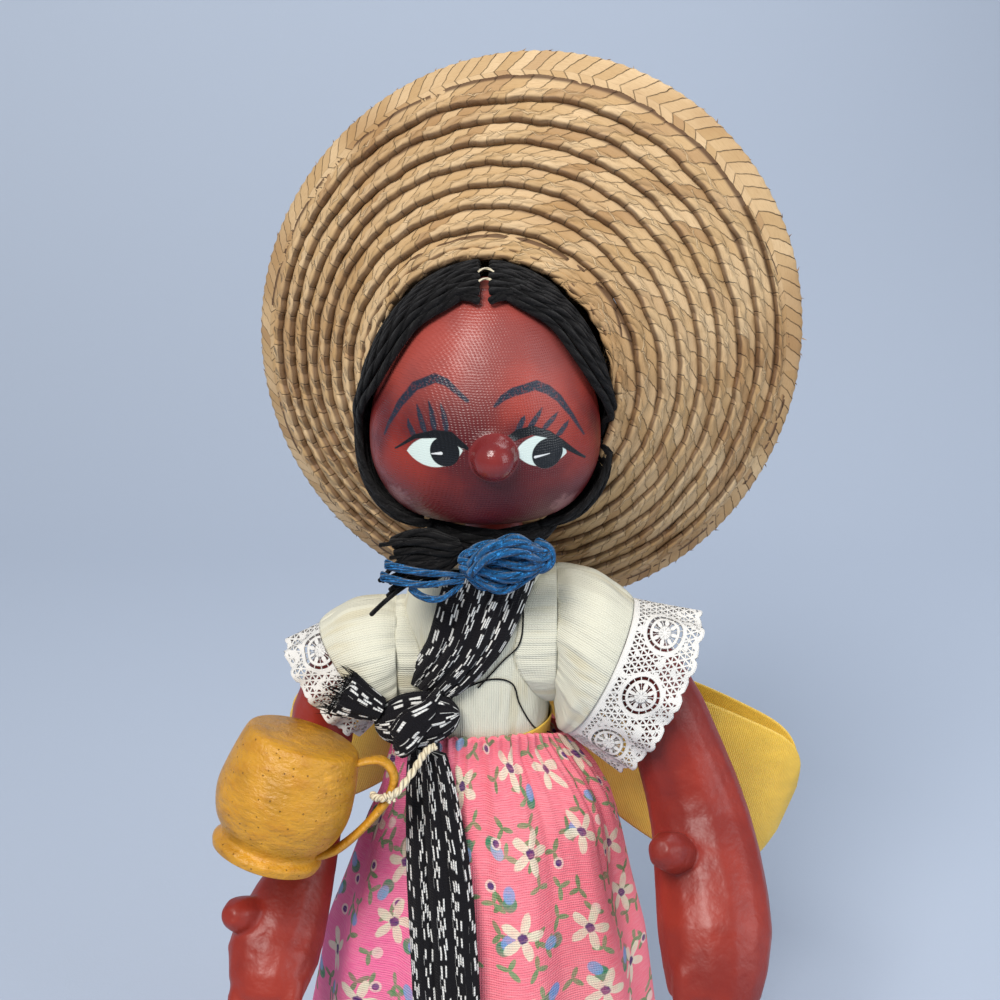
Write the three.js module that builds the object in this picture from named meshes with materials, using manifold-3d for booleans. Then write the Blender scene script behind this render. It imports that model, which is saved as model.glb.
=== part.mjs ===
import * as THREE from 'three';
import { mergeVertices } from 'three/addons/utils/BufferGeometryUtils.js';
import Module from 'manifold-3d';

const wasm = await Module();
wasm.setup();

// Sizes in millimetres. The doll stands upright, faces -Y, and its right hand is at -X.
const gap = 0.4; // between pieces that are sewn, laid or tied together
const dollAxis = { x: -10.6, y: -4.2 }; // the doll's own axis, from the middle of its whole box

// Head and hair
const chinHeight = 247;
const headHeight = 62;
const headWidth = 61;
const headDepth = 56;
const headCentre = -1.3; // the head leans a little to the doll's right
const noseRadius = 5.4;
const noseShift = 2.4;
const hairThickness = 2.6;
const hairClearance = 0.9;
const stitchWidth = 2.6;

// Straw hat
const crownDepth = 46;
const strawThickness = 2;
const openingRadius = 35;
const openingOffset = { x: 0.5, y: 9, z: 30.7 }; // from the middle of the chin
const brimTurn = 13.7; // degrees, hat axis turned towards the doll's left
const brimTip = -1; // degrees, hat axis tipped up
const brimSlope = 37.3; // degrees, brim turned back towards the crown
const braidRings = 10;
const braidPitch = 5;
const braidStep = 0.9; // each round of braid laps over the next by this much
const edgeBandWidth = 8.5;
const edgeBandThickness = 2.4;
const brimOval = 0.03;
const brimOvalTurn = 55; // degrees

// Stuffed body
const torsoTop = chinHeight - 19;
const waistHeight = 178;
const chestAt = (share) => waistHeight + (torsoTop - waistHeight) * share;
const hipHeight = 146;
const torsoCentre = -4;
const torsoHalfWidth = 19.5;
const torsoHalfDepth = 15.2;
const neckRadius = 8;
const neckCentre = { x: 1, y: -2 };
const wireRadius = 1;
const wireBore = 1.5;

// Arms: rows of x out from the shoulder seat, y, z from the shoulder, half width, half depth
const shoulderHeight = { left: chestAt(0.64), right: chestAt(0.52) };
const shoulderRadius = 9;
const armholeRadius = 10.5;
const leftArmRows = [
  [0, 0, 0, shoulderRadius, shoulderRadius],
  [8, 0, 0, 9.4, 9.4],
  [20, -1, -6, 9.8, 9.8],
  [30, -3, -18, 11, 11],
  [38, -6, -38, 12.8, 12.2],
  [43.5, -13, -54, 14.2, 12.8],
  [45.5, -26, -66, 15.6, 12.6],
  [46, -39, -78, 16, 12.4],
  [45, -48, -90, 12.8, 10],
];
const rightArmRows = [
  [0, 0, 0, shoulderRadius - 0.6, shoulderRadius - 0.6],
  [7, 0, 0, 8.8, 8.8],
  [17, 0, -7, 9.2, 9.2],
  [25, 0, -26, 9.4, 9.4],
  [27.5, -4, -48, 9.2, 9.2],
  [29.5, -14, -64, 8.8, 8.8],
  [34, -27, -73, 12.4, 9.4],
  [37, -38, -80, 13, 9],
  [37, -45, -87, 9.5, 7],
];
const fingerRadius = 3.4;
const thumbRadius = 6;
const armTipLength = 3;

// Legs and shoes
const legSpacing = 22;
const hipRadius = 10;
const ankleRadius = 6.5;
const ankleHeight = 15;
const shoeLength = 42;
const shoeWidth = 19;
const shoeHeight = 16;
const soleThickness = 2.6;
const weltWidth = 0.8; // sole beyond the upper
const heelBack = 15; // from the leg's middle to the back of the shoe

// Blouse
const clothThickness = 1.3;
const collarHeight = chinHeight - 14;
const sleeveWall = 1.2;
const laceWall = 0.8;

// Shawl
const shawlThickness = 3.4;
const knotHalf = { x: 12, y: 6.2, z: 8 };
const knotPlace = { x: -20, z: chestAt(0.26) };
const tailHalfWidth = 9.5;
const tailEnd = 72;

// Skirt and waist ribbon
const skirtThickness = 1.5;
const skirtFolds = 10;
const foldDepth = 2.6;
const backDip = 4.5; // the gathered top edge is lower behind and at the doll's left
const leftDip = 8;
const hemHeight = 30;
const ribbonThickness = 1;
const ribbonWidth = 17;
const bowDepth = 5.5;
const bowTailHalf = 1.1;

// Clay jug, hung mouth down; the string ties it to the shawl knot
const jugHeight = 34;
const jugRadius = 18.2;
const jugMouth = 14.6;
const jugBase = 15.3;
const jugWall = 1.8;
const jugTilt = 18.7; // degrees, base leaning to the doll's left
const jugLean = 17; // degrees, base leaning back
const jugPlace = { x: -60.4, y: -38.6, z: shoulderHeight.right - 43.4 };
const handleReach = 8.2;
const handleHalfWidth = 2.4;
const handleHalfThickness = 1.2;
const stringRadius = 1;

const { PI, cos, sin, sqrt, abs, max, min, round } = Math;
const radians = (degrees) => THREE.MathUtils.degToRad(degrees);
const vec = (x, y, z) => new THREE.Vector3(x, y, z);

// Rows of numbers, smoothly run through by a Catmull-Rom spline
function spline(rows, steps) {
  const result = [];
  const last = rows.length - 1;
  for (let step = 0; step <= steps; step += 1) {
    const place = (step / steps) * last;
    const index = min(Math.floor(place), last - 1);
    const t = place - index;
    const before = rows[max(index - 1, 0)];
    const after = rows[min(index + 2, last)];
    result.push(rows[index].map((value, k) => {
      const next = rows[index + 1][k];
      const rise = (next - before[k]) / 2;
      const fall = (after[k] - value) / 2;
      return value + t * (rise + t * (3 * (next - value) - 2 * rise - fall
        + t * (2 * (value - next) + rise + fall)));
    }));
  }
  return result;
}

// The row at a height, between rows sorted from top to bottom whose first number is the height
function rowAt(rows, height) {
  const last = rows.length - 1;
  let index = 0;
  while (index < last - 1 && rows[index + 1][0] > height) {
    index += 1;
  }
  const [upper, lower] = [rows[index], rows[index + 1]];
  const t = min(max((upper[0] - height) / (upper[0] - lower[0]), 0), 1);
  return upper.map((value, k) => value + t * (lower[k] - value));
}

// A closed body from vertices and triangles, turned so that its faces point out
function body(points, faces) {
  let volume = 0;
  for (const [a, b, c] of faces) {
    volume += points[a].dot(points[b].clone().cross(points[c]));
  }
  const turned = volume < 0 ? faces.map(([a, b, c]) => [a, c, b]) : faces;
  const geometry = new THREE.BufferGeometry();
  const numbers = points.flatMap((p) => [p.x, p.y, p.z]);
  geometry.setAttribute('position', new THREE.Float32BufferAttribute(numbers, 3));
  geometry.setIndex(turned.flat());
  return geometry;
}

// Rings of equal count skinned into one body: closed like a ring, or capped at both ends
function skin(rings, closed = false) {
  const sides = rings[0].length;
  const points = rings.flat();
  const faces = [];
  const spans = closed ? rings.length : rings.length - 1;
  for (let ring = 0; ring < spans; ring += 1) {
    const next = (ring + 1) % rings.length;
    for (let side = 0; side < sides; side += 1) {
      const beside = (side + 1) % sides;
      const [a, b] = [ring * sides + side, ring * sides + beside];
      const [c, d] = [next * sides + side, next * sides + beside];
      faces.push([a, b, d], [a, d, c]);
    }
  }
  if (!closed) {
    for (const end of [0, rings.length - 1]) {
      const middle = rings[end].reduce((sum, p) => sum.add(p), vec(0, 0, 0));
      points.push(middle.divideScalar(sides));
      for (let side = 0; side < sides; side += 1) {
        const edge = [end * sides + side, end * sides + (side + 1) % sides];
        faces.push(end === 0 ? [points.length - 1, edge[1], edge[0]] : [points.length - 1, ...edge]);
      }
    }
  }
  return body(points, faces);
}

// A ring of points round a centre; reach(angle) widens or narrows it
function ringOf(centre, across, along, sides, reach = () => 1) {
  return Array.from({ length: sides }, (_, side) => {
    const angle = (2 * PI * side) / sides;
    return centre.clone()
      .addScaledVector(across, cos(angle) * reach(angle))
      .addScaledVector(along, sin(angle) * reach(angle));
  });
}

// A body swept along rows of x, y, z, half width, half depth. The width lies along the direction
// that is given, or else square to the path and to the doll's front
function sweep(rows, sides, widthAlong, reach) {
  const middle = rows.map((row) => vec(row[0], row[1], row[2]));
  const rings = rows.map((row, index) => {
    const from = middle[max(index - 1, 0)];
    const tangent = middle[min(index + 1, rows.length - 1)].clone().sub(from).normalize();
    const hint = widthAlong ?? vec(0, -1, 0).cross(tangent);
    const across = hint.clone().addScaledVector(tangent, -hint.dot(tangent)).normalize();
    const along = tangent.clone().cross(across);
    return ringOf(middle[index], across.multiplyScalar(row[3]), along.multiplyScalar(row[4]), sides, reach);
  });
  return skin(rings);
}

// A slab between two grids of points given by functions of u and v, both from 0 to 1
function slab(columns, rows, inner, outer) {
  const points = [];
  for (const face of [inner, outer]) {
    for (let row = 0; row <= rows; row += 1) {
      for (let column = 0; column <= columns; column += 1) {
        points.push(face(column / columns, row / rows));
      }
    }
  }
  const width = columns + 1;
  const layer = width * (rows + 1);
  const faces = [];
  const quad = (a, b, c, d) => faces.push([a, b, c], [a, c, d]);
  for (let row = 0; row < rows; row += 1) {
    for (let column = 0; column < columns; column += 1) {
      const a = row * width + column;
      quad(a, a + width, a + width + 1, a + 1);
      quad(layer + a, layer + a + 1, layer + a + width + 1, layer + a + width);
    }
  }
  const edge = [];
  for (let column = 0; column < columns; column += 1) edge.push(column);
  for (let row = 0; row < rows; row += 1) edge.push(row * width + columns);
  for (let column = columns; column > 0; column -= 1) edge.push(rows * width + column);
  for (let row = rows; row > 0; row -= 1) edge.push(row * width);
  edge.forEach((a, k) => {
    const b = edge[(k + 1) % edge.length];
    quad(a, b, layer + b, layer + a);
  });
  return body(points, faces);
}

function toSolid(geometry) {
  return new wasm.Manifold(new wasm.Mesh({
    numProp: 3,
    vertProperties: new Float32Array(geometry.attributes.position.array),
    triVerts: new Uint32Array(geometry.index.array),
  }));
}

function fromSolid(solid) {
  const { vertProperties, triVerts } = solid.getMesh();
  const geometry = new THREE.BufferGeometry();
  geometry.setAttribute('position', new THREE.BufferAttribute(Float32Array.from(vertProperties), 3));
  geometry.setIndex(new THREE.BufferAttribute(Uint32Array.from(triVerts), 1));
  return geometry;
}

// What is left of a body after its neighbours' room is cut away, without loose slivers
function cut(geometry, ...tools) {
  const rest = tools.reduce((solid, tool) => solid.subtract(toSolid(tool)), toSolid(geometry));
  const pieces = rest.decompose().sort((a, b) => b.volume() - a.volume());
  return fromSolid(pieces[0]);
}

function join(...geometries) {
  return fromSolid(geometries.map(toSolid).reduce((solid, other) => solid.add(other)));
}

function welded(geometry) {
  geometry.deleteAttribute('normal');
  geometry.deleteAttribute('uv');
  const merged = mergeVertices(geometry, 1e-4);
  const place = merged.attributes.position;
  const points = Array.from({ length: place.count }, (_, k) => vec().fromBufferAttribute(place, k));
  const index = Array.from(merged.index.array);
  const faces = [];
  for (let k = 0; k < index.length; k += 3) {
    const [a, b, c] = index.slice(k, k + 3);
    if (a !== b && b !== c && c !== a) {
      faces.push([a, b, c]);
    }
  }
  return body(points, faces);
}

const finishes = {
  skin: { color: 0x7c2420, roughness: 0.35 },
  hair: { color: 0x0d0d10, roughness: 0.85 },
  blueYarn: { color: 0x0e5fa8, roughness: 0.85 },
  straw: { color: 0xc49a62, roughness: 0.75 },
  strawDark: { color: 0xb1854f, roughness: 0.8 },
  blouse: { color: 0xe9e6cf, roughness: 0.6 },
  lace: { color: 0xf3f1e8, roughness: 0.8 },
  shawl: { color: 0x1c2024, roughness: 0.85 },
  muslin: { color: 0xe2d8c0, roughness: 0.9 },
  calico: { color: 0xe0648f, roughness: 0.85 },
  satin: { color: 0xd9a223, roughness: 0.35 },
  clay: { color: 0xcb8a1f, roughness: 0.4 },
  cotton: { color: 0xe6d8b4, roughness: 0.85 },
  leather: { color: 0x3a2418, roughness: 0.6 },
  sole: { color: 0x8a6a48, roughness: 0.8 },
  wire: { color: 0x8d9094, roughness: 0.4, metalness: 0.9 },
};

const doll = new THREE.Group();
doll.position.set(dollAxis.x, dollAxis.y, 0);

function add(name, geometry, finish, parent = doll) {
  geometry.computeVertexNormals();
  const mesh = new THREE.Mesh(geometry, new THREE.MeshStandardMaterial(finishes[finish]));
  mesh.name = name;
  parent.add(mesh);
  return mesh;
}

// Head: a pear shape, widest at the cheeks, with a flat chin and a ball nose
const headProfile = spline([
  [0, 0.5], [0.05, 0.8], [0.19, 0.97], [0.35, 1], [0.54, 0.93], [0.73, 0.76], [0.89, 0.5], [0.97, 0.24],
], 28);

function headPoint(angle, share) {
  const rows = headProfile;
  const found = rows.findIndex((row) => row[0] >= share);
  const index = found < 1 ? 1 : found;
  const [low, high] = [rows[index - 1], rows[index]];
  const t = (share - low[0]) / (high[0] - low[0]);
  const width = low[1] + t * (high[1] - low[1]);
  return vec(
    headCentre + sin(angle) * width * headWidth / 2,
    -cos(angle) * width * headDepth / 2,
    chinHeight + share * headHeight,
  );
}

function headOffset(angle, share, offset) {
  const step = 0.01;
  const low = max(share - step, 0);
  const high = min(share + step, headProfile[headProfile.length - 1][0]);
  const up = headPoint(angle, high).sub(headPoint(angle, low));
  const along = headPoint(angle + step, share).sub(headPoint(angle - step, share));
  return headPoint(angle, share).addScaledVector(along.cross(up).normalize(), offset);
}

function headForm(offset, sides, rings) {
  const top = headProfile[headProfile.length - 1][0];
  return skin(Array.from({ length: rings + 1 }, (_, ring) => {
    const share = top * (0.5 - 0.5 * cos((PI * ring) / rings));
    return Array.from({ length: sides }, (__, side) => headOffset((2 * PI * side) / sides, share, offset));
  }));
}

function ball(x, y, z, radius, sides = 10) {
  const rows = Array.from({ length: 7 }, (_, k) => {
    const turn = (PI * (k + 0.35)) / 6.7;
    return [x, y, z - radius * cos(turn), radius * sin(turn), radius * sin(turn)];
  });
  return sweep(rows, sides, vec(1, 0, 0));
}

const noseShare = 0.37;
const noseSeat = headPoint(0, noseShare);
const nose = ball(headCentre + noseShift, noseSeat.y - noseRadius * 0.25, noseSeat.z, noseRadius);
const spineTop = chinHeight + headHeight * 0.5;
const spineRow = (z, radius) => [neckCentre.x, neckCentre.y, z, radius, radius];
const spineFoot = hipHeight + 12;
const spineHole = sweep([spineRow(spineFoot, wireBore), spineRow(spineTop + 1, wireBore)], 10, vec(1, 0, 0));
add('head', cut(join(headForm(0, 22, 13), nose), spineHole), 'skin');
add('spine_wire', sweep([
  spineRow(spineFoot + gap, wireRadius), spineRow(spineTop, wireRadius),
], 8, vec(1, 0, 0)), 'wire');

// Hair: two banks laid from the middle parting round the face and under the cheeks
const hairline = [
  [0.97, 3], [0.93, 22], [0.84, 50], [0.71, 58], [0.58, 67],
  [0.47, 79], [0.34, 92], [0.18, 84], [0.05, 58], [0.01, 46],
];
const parting = 0.25;
for (const [name, side] of [['hair_left', 1], ['hair_right', -1]]) {
  const surface = (offset) => (u, v) => {
    const [share, front] = rowAt(hairline, 0.97 - 0.96 * v);
    const angle = radians(front + u * (180 - front));
    const point = headOffset(angle, share, offset);
    return vec(headCentre + side * (point.x - headCentre + parting), point.y, point.z);
  };
  const bank = slab(8, 9, surface(hairClearance), surface(hairClearance + hairThickness));
  add(name, cut(bank, headForm(gap, 22, 13)), 'hair');
}
const stitchSeat = headOffset(0, 0.95, hairClearance);
add('part_stitch', sweep([
  [headCentre - stitchWidth / 2, stitchSeat.y - 0.2, stitchSeat.z, 0.4, 0.35],
  [headCentre + stitchWidth / 2, stitchSeat.y - 0.2, stitchSeat.z, 0.4, 0.35],
], 6, vec(0, 1, 0)), 'cotton');

// Body: torso and neck in one, cut round the head, with a bore for the spine wire
const torsoRows = [
  [torsoTop, 0.55, 0.6], [chestAt(0.9), 0.84, 0.78], [chestAt(0.72), 0.97, 0.95],
  [chestAt(0.4), 1, 1], [waistHeight, 0.94, 0.94], [hipHeight + 10, 1, 1.04], [hipHeight, 0.8, 0.8],
];
const torsoReach = (z) => {
  const [, wide, deep] = rowAt(torsoRows, z);
  return { x: wide * torsoHalfWidth, y: deep * torsoHalfDepth };
};
const ovalSweep = (heights, centre, reach, sides) => skin(heights.map((z) => {
  const size = reach(z);
  return ringOf(vec(centre, 0, z), vec(size.x, 0, 0), vec(0, size.y, 0), sides);
}));
const torsoHeights = torsoRows.map((row) => row[0]);
const neck = sweep([
  [neckCentre.x, neckCentre.y, torsoTop - 12, neckRadius, neckRadius],
  [neckCentre.x, neckCentre.y, chinHeight + 4, neckRadius, neckRadius],
], 16, vec(1, 0, 0));
const torso = join(ovalSweep(torsoHeights, torsoCentre, torsoReach, 24), neck);
const legTop = (side) => vec(torsoCentre + side * legSpacing / 2, 0, hipHeight);
add('torso', cut(torso, headForm(gap, 22, 13), spineHole), 'muslin');

// Blouse body: an open cloth tube over the torso with two round armholes
const blouseOver = (z, offset) => {
  const size = torsoReach(min(z, chestAt(0.9)));
  return { x: size.x + offset, y: size.y + offset };
};
const blouseHeights = [
  collarHeight, torsoTop - 1, chestAt(0.84), chestAt(0.68), chestAt(0.36), waistHeight, waistHeight - 5,
];
const blouseInner = 2 * gap;
const tubeShell = (heights, outer, inner, sides) => {
  const ring = (z, size) => ringOf(vec(torsoCentre, 0, z), vec(size.x, 0, 0), vec(0, size.y, 0), sides);
  const outside = heights.map((z) => ring(z, outer(z)));
  const inside = heights.map((z) => ring(z, inner(z))).reverse();
  return skin([...outside, ...inside], true);
};
const armhole = (side, height) => sweep([
  [torsoCentre + side * torsoHalfWidth * 0.5, 0, height, armholeRadius, armholeRadius],
  [torsoCentre + side * (torsoHalfWidth + 10), 0, height, armholeRadius, armholeRadius],
], 16, vec(0, 1, 0));
add('blouse_bodice', cut(
  tubeShell(
    blouseHeights,
    (z) => blouseOver(z, blouseInner + clothThickness),
    (z) => blouseOver(z, blouseInner),
    22,
  ),
  armhole(1, shoulderHeight.left), armhole(-1, shoulderHeight.right),
), 'blouse');
const bodiceHalf = torsoHalfWidth + blouseInner + clothThickness;
const bodiceFront = (x, z) => {
  const size = blouseOver(z, blouseInner + clothThickness);
  const share = min(abs(x - torsoCentre) / size.x, 0.97);
  return -size.y * sqrt(1 - share * share);
};

// Arms: stuffed and painted, with finger ridges and a thumb; a wire runs in from the shoulder
const shoulderSeat = torsoHalfWidth + gap + 0.3;
function armParts(side, armRows, fingers, thumb) {
  const height = side > 0 ? shoulderHeight.left : shoulderHeight.right;
  const place = (row) => [torsoCentre + side * (shoulderSeat + row[0]), row[1], height + row[2]];
  const rows = armRows.map((row) => [...place(row), row[3], row[4]]);
  const [before, tip] = rows.slice(-2);
  const away = vec(tip[0] - before[0], tip[1] - before[1], tip[2] - before[2]).normalize();
  const tipRows = [[0.6, 0.75], [1.2, 0.4]].map(([run, share]) => [
    tip[0] + away.x * armTipLength * run,
    tip[1] + away.y * armTipLength * run,
    tip[2] + away.z * armTipLength * run,
    tip[3] * share,
    tip[4] * share,
  ]);
  const arm = sweep([...spline(rows, 14), ...tipRows], 14);
  const digits = [...fingers, thumb].map(([from, to, radius]) => {
    const start = place(from);
    const end = place(to);
    const taper = [0.6, 1, 1, 0.92, 0.5];
    return sweep(taper.map((share, k) => {
      const t = k / (taper.length - 1);
      const middle = start.map((value, axis) => value + t * (end[axis] - value));
      return [...middle, radius * share, radius * share];
    }), 7, vec(side, 0, 0.2));
  });
  const core = rows.slice(0, 6);
  const hole = core.map((row) => [row[0], row[1], row[2], wireBore, wireBore]);
  hole[0][0] -= side * gap;
  const wire = core.map((row) => [row[0], row[1], row[2], wireRadius, wireRadius]);
  wire[0][0] += side * gap;
  return {
    arm: cut(join(arm, ...digits), sweep(spline(hole, 14), 8)),
    wire: sweep(spline(wire, 14).slice(0, -1), 8),
  };
}
const fingersOf = (knuckle, step, reach) => Array.from({ length: 4 }, (_, k) => {
  const from = knuckle.map((value, axis) => value + step[axis] * (k - 1.5));
  return [from, from.map((value, axis) => value + reach[axis]), fingerRadius];
});
const leftArm = armParts(
  1, leftArmRows,
  fingersOf([45.5, -46, -77], [6, 0.6, 0], [-1, -7, -14]),
  [[37, -29, -57], [29, -40, -47], thumbRadius],
);
const rightArm = armParts(
  -1, rightArmRows,
  fingersOf([37, -42, -81], [5, 0, -1], [1.5, -8, -9]),
  [[42, -30, -70], [48, -39, -64], thumbRadius - 0.6],
);
add('arm_left', leftArm.arm, 'skin');
add('arm_wire_left', leftArm.wire, 'wire');
add('arm_right', rightArm.arm, 'skin');
add('arm_wire_right', rightArm.wire, 'wire');

// Sleeves: short open caps, each with a flared lace band sewn inside its edge
const sleeveSides = {
  left: {
    side: 1, hole: 20.5, low: 2.5, seam: [30, chestAt(0.4)], out: [0.9, -0.43],
    high: 22.5, deep: 17, flare: 4, lace: 20,
  },
  right: {
    side: -1, hole: 16.5, low: 3, seam: [-38, chestAt(0.4)], out: [-0.8, -0.6],
    high: 16.6, deep: 13.5, flare: 1, lace: 12,
  },
};
const armholeDepth = 15;
for (const [name, shape] of Object.entries(sleeveSides)) {
  const { side, seam, out } = shape;
  const holeHeight = shoulderHeight[name] - shape.low;
  const start = torsoCentre + side * (bodiceHalf + gap + 0.1);
  const seamCentre = vec(seam[0], -2, seam[1]);
  const way = vec(out[0], 0, out[1]).normalize();
  const upAcross = (direction) => vec(-direction.z * side, 0, direction.x * side);
  const ringPlaces = (share, offset) => {
    const bow = sin(PI * share) * 2.2;
    const direction = vec(side, 0, 0).lerp(way, share).normalize();
    const centre = vec(start, 0, holeHeight).lerp(seamCentre, share);
    const high = shape.hole + share * (shape.high - shape.hole) + bow - offset;
    const deep = armholeDepth + share * (shape.deep - armholeDepth) + bow - offset;
    return ringOf(centre, upAcross(direction).multiplyScalar(high), vec(0, deep, 0), 28);
  };
  const shares = [0, 0.3, 0.65, 1];
  add(`sleeve_${name}`, skin([
    ...shares.map((share) => ringPlaces(share, 0)),
    ...shares.map((share) => ringPlaces(share, sleeveWall)).reverse(),
  ], true), 'blouse');
  const laceAt = (along, offset) => {
    const centre = seamCentre.clone().addScaledVector(way, along);
    const flare = shape.flare * along / shape.lace;
    return ringOf(centre, upAcross(way).multiplyScalar(shape.high + flare - offset),
      vec(0, shape.deep + flare - offset, 0), 28);
  };
  const laceRun = [gap, shape.lace / 2, shape.lace];
  add(`lace_${name}`, skin([
    ...laceRun.map((along) => laceAt(along, 0)),
    ...laceRun.map((along) => laceAt(along, laceWall)).reverse(),
  ], true), 'lace');
}

// Waist ribbon: a satin band round the blouse, under the gathered skirt top
const ribbonOver = (z, offset) => blouseOver(z, blouseInner + clothThickness + gap + offset);
const ribbonHeights = [waistHeight + 4, waistHeight, waistHeight + 4 - ribbonWidth];
add('waist_ribbon', tubeShell(
  ribbonHeights, (z) => ribbonOver(z, ribbonThickness), (z) => ribbonOver(z, 0), 24,
), 'satin');

// Skirt: gathered calico that widens to the hem, with folds that deepen downwards
const skirtTop = waistHeight + 6;
const belowWaist = (rows, column) => rows.map((row) => row.with(column, waistHeight - row[column]));
const skirtRows = [
  ...belowWaist([
    [-6, 25.2, 20.6, 25.2], [0, 25.2, 20.6, 26], [13, 29.5, 25, 36], [23, 32, 28, 41.5],
    [31, 35.5, 31, 44], [53, 43.5, 38, 49], [73, 51, 45, 54], [108, 58, 52, 59],
  ], 0),
  [hemHeight, 62, 57, 62],
];
const skirtWaist = ribbonOver(skirtTop, ribbonThickness + 2 * gap + skirtThickness);
const skirtGrow = { x: skirtWaist.x - skirtRows[1][1], y: skirtWaist.y - skirtRows[1][2] };
const skirtHalf = (z) => {
  const [, right, y, left] = rowAt(skirtRows, z);
  return { right: right + skirtGrow.x, left: left + skirtGrow.x, y: y + skirtGrow.y };
};
const foldReach = (angle, z) => {
  const fall = min(max((waistHeight - z) / (waistHeight - hemHeight), 0), 1);
  const wave = 0.7 * cos(skirtFolds * angle) + 0.3 * cos((skirtFolds - 5) * angle + 1);
  return foldDepth * sqrt(fall) * (wave - 1);
};
const skirtEdge = (angle) => {
  const front = 0.5 - 0.5 * sin(angle);
  const left = max(cos(angle - 0.35), 0);
  return skirtTop - backDip * (1 - front) - leftDip * left * left;
};
const skirtRing = (level, offset) => Array.from({ length: 50 }, (_, k) => {
  const angle = (2 * PI * k) / 50;
  const z = skirtEdge(angle) + (hemHeight - skirtEdge(angle)) * level;
  const size = skirtHalf(z);
  const fold = foldReach(angle, z) - offset;
  const half = cos(angle) > 0 ? size.left : size.right;
  return vec(torsoCentre + cos(angle) * (half + fold), sin(angle) * (size.y + fold), z);
});
const skirtLevels = [0, 0.07, 0.19, 0.33, 0.5, 0.75, 1];
add('skirt', skin([
  ...skirtLevels.map((level) => skirtRing(level, 0)),
  ...skirtLevels.map((level) => skirtRing(level, skirtThickness)).reverse(),
], true), 'calico');
const skirtFront = (x, z) => {
  const size = skirtHalf(z);
  const share = min(abs(x - torsoCentre) / (x > torsoCentre ? size.left : size.right), 0.97);
  return -size.y * sqrt(1 - share * share);
};

// Shawl: a gathered bundle from the neck to the chest knot, a short end and a long tail
const layOn = (rows, surface, clearance, thickness, pleats) => {
  const at = (u, v) => {
    const run = spline(rows, 24)[round(v * 24)];
    return { x: run[0] + (2 * u - 1) * run[1], z: run[2], rise: (2 * u - 1) * run[1] * (run[3] ?? 0) };
  };
  const inner = (u, v) => {
    const { x, z, rise } = at(u, v);
    return vec(x, surface(x, z) - clearance, z + rise);
  };
  const outer = (u, v) => {
    const { x, z, rise } = at(u, v);
    const edge = sqrt(max(1 - (2 * u - 1) ** 4, 0));
    const deep = thickness * (0.35 + edge * (0.5 + 0.15 * cos(2 * PI * pleats * u)));
    return vec(x, surface(x, z) - clearance - deep, z + rise);
  };
  return { inner, outer };
};
const neckRun = layOn([
  [1, 12.5, collarHeight], [-1, 12.5, torsoTop - 2], [-6, 11, chestAt(0.7)], [-11.5, 9.8, chestAt(0.52)],
  [knotPlace.x + 3.8, 8, knotPlace.z + knotHalf.z - 1],
], bodiceFront, gap + 0.5, shawlThickness, 4);
const knotDepth = bodiceFront(knotPlace.x, knotPlace.z) - gap - 2.4 - knotHalf.y;
const knotForm = (grow) => sweep(Array.from({ length: 10 }, (_, k) => {
  const turn = PI * (0.06 + 0.88 * k / 9);
  const wide = sin(turn);
  return [
    knotPlace.x - (knotHalf.x + grow) * cos(turn), knotDepth, knotPlace.z - 2 * cos(turn),
    knotHalf.z * wide + grow, knotHalf.y * wide + grow,
  ];
}), 14, vec(0, 0, 1));
const bodiceSpace = tubeShell(
  blouseHeights,
  (z) => blouseOver(z, blouseInner + clothThickness + gap),
  (z) => blouseOver(z, 0.5),
  24,
);
add('shawl_knot', cut(knotForm(0), bodiceSpace), 'shawl');
add('shawl_neck', cut(slab(12, 6, neckRun.inner, neckRun.outer), knotForm(gap)), 'shawl');
const shortEnd = [
  [knotPlace.x - knotHalf.x + 1, knotDepth - 0.8, knotPlace.z + 3.5, 4, 3],
  [knotPlace.x - knotHalf.x - 4, knotDepth - 1.8, knotPlace.z + 7, 6, 3.2],
  [knotPlace.x - knotHalf.x - 9, knotDepth - 3, knotPlace.z + 10, 7.2, 2.4],
];
add('shawl_short_end', cut(sweep(spline(shortEnd, 5), 12, vec(0.7, 0, 1)), knotForm(gap)), 'shawl');
const tailTop = knotPlace.z - knotHalf.z - 1.4;
const tailSurface = (x, z) => min(
  z > waistHeight - 8 ? bodiceFront(x, z) - 6.5 : 0,
  skirtFront(x, z) - 0.3,
  knotDepth + 3.2 - max(z - waistHeight, 0) * 0.1,
);
const tailRun = layOn([
  [-16.5, 7, tailTop],
  ...belowWaist([
    [-15.6, 8.8, 10], [-13.6, 9.6, 32], [-12.4, tailHalfWidth, 60], [-11.6, tailHalfWidth, 83],
  ], 2),
  [-11, tailHalfWidth - 0.5, tailEnd],
], tailSurface, gap, shawlThickness, 3);
add('shawl_tail', slab(8, 12, tailRun.inner, tailRun.outer), 'shawl');

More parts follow.
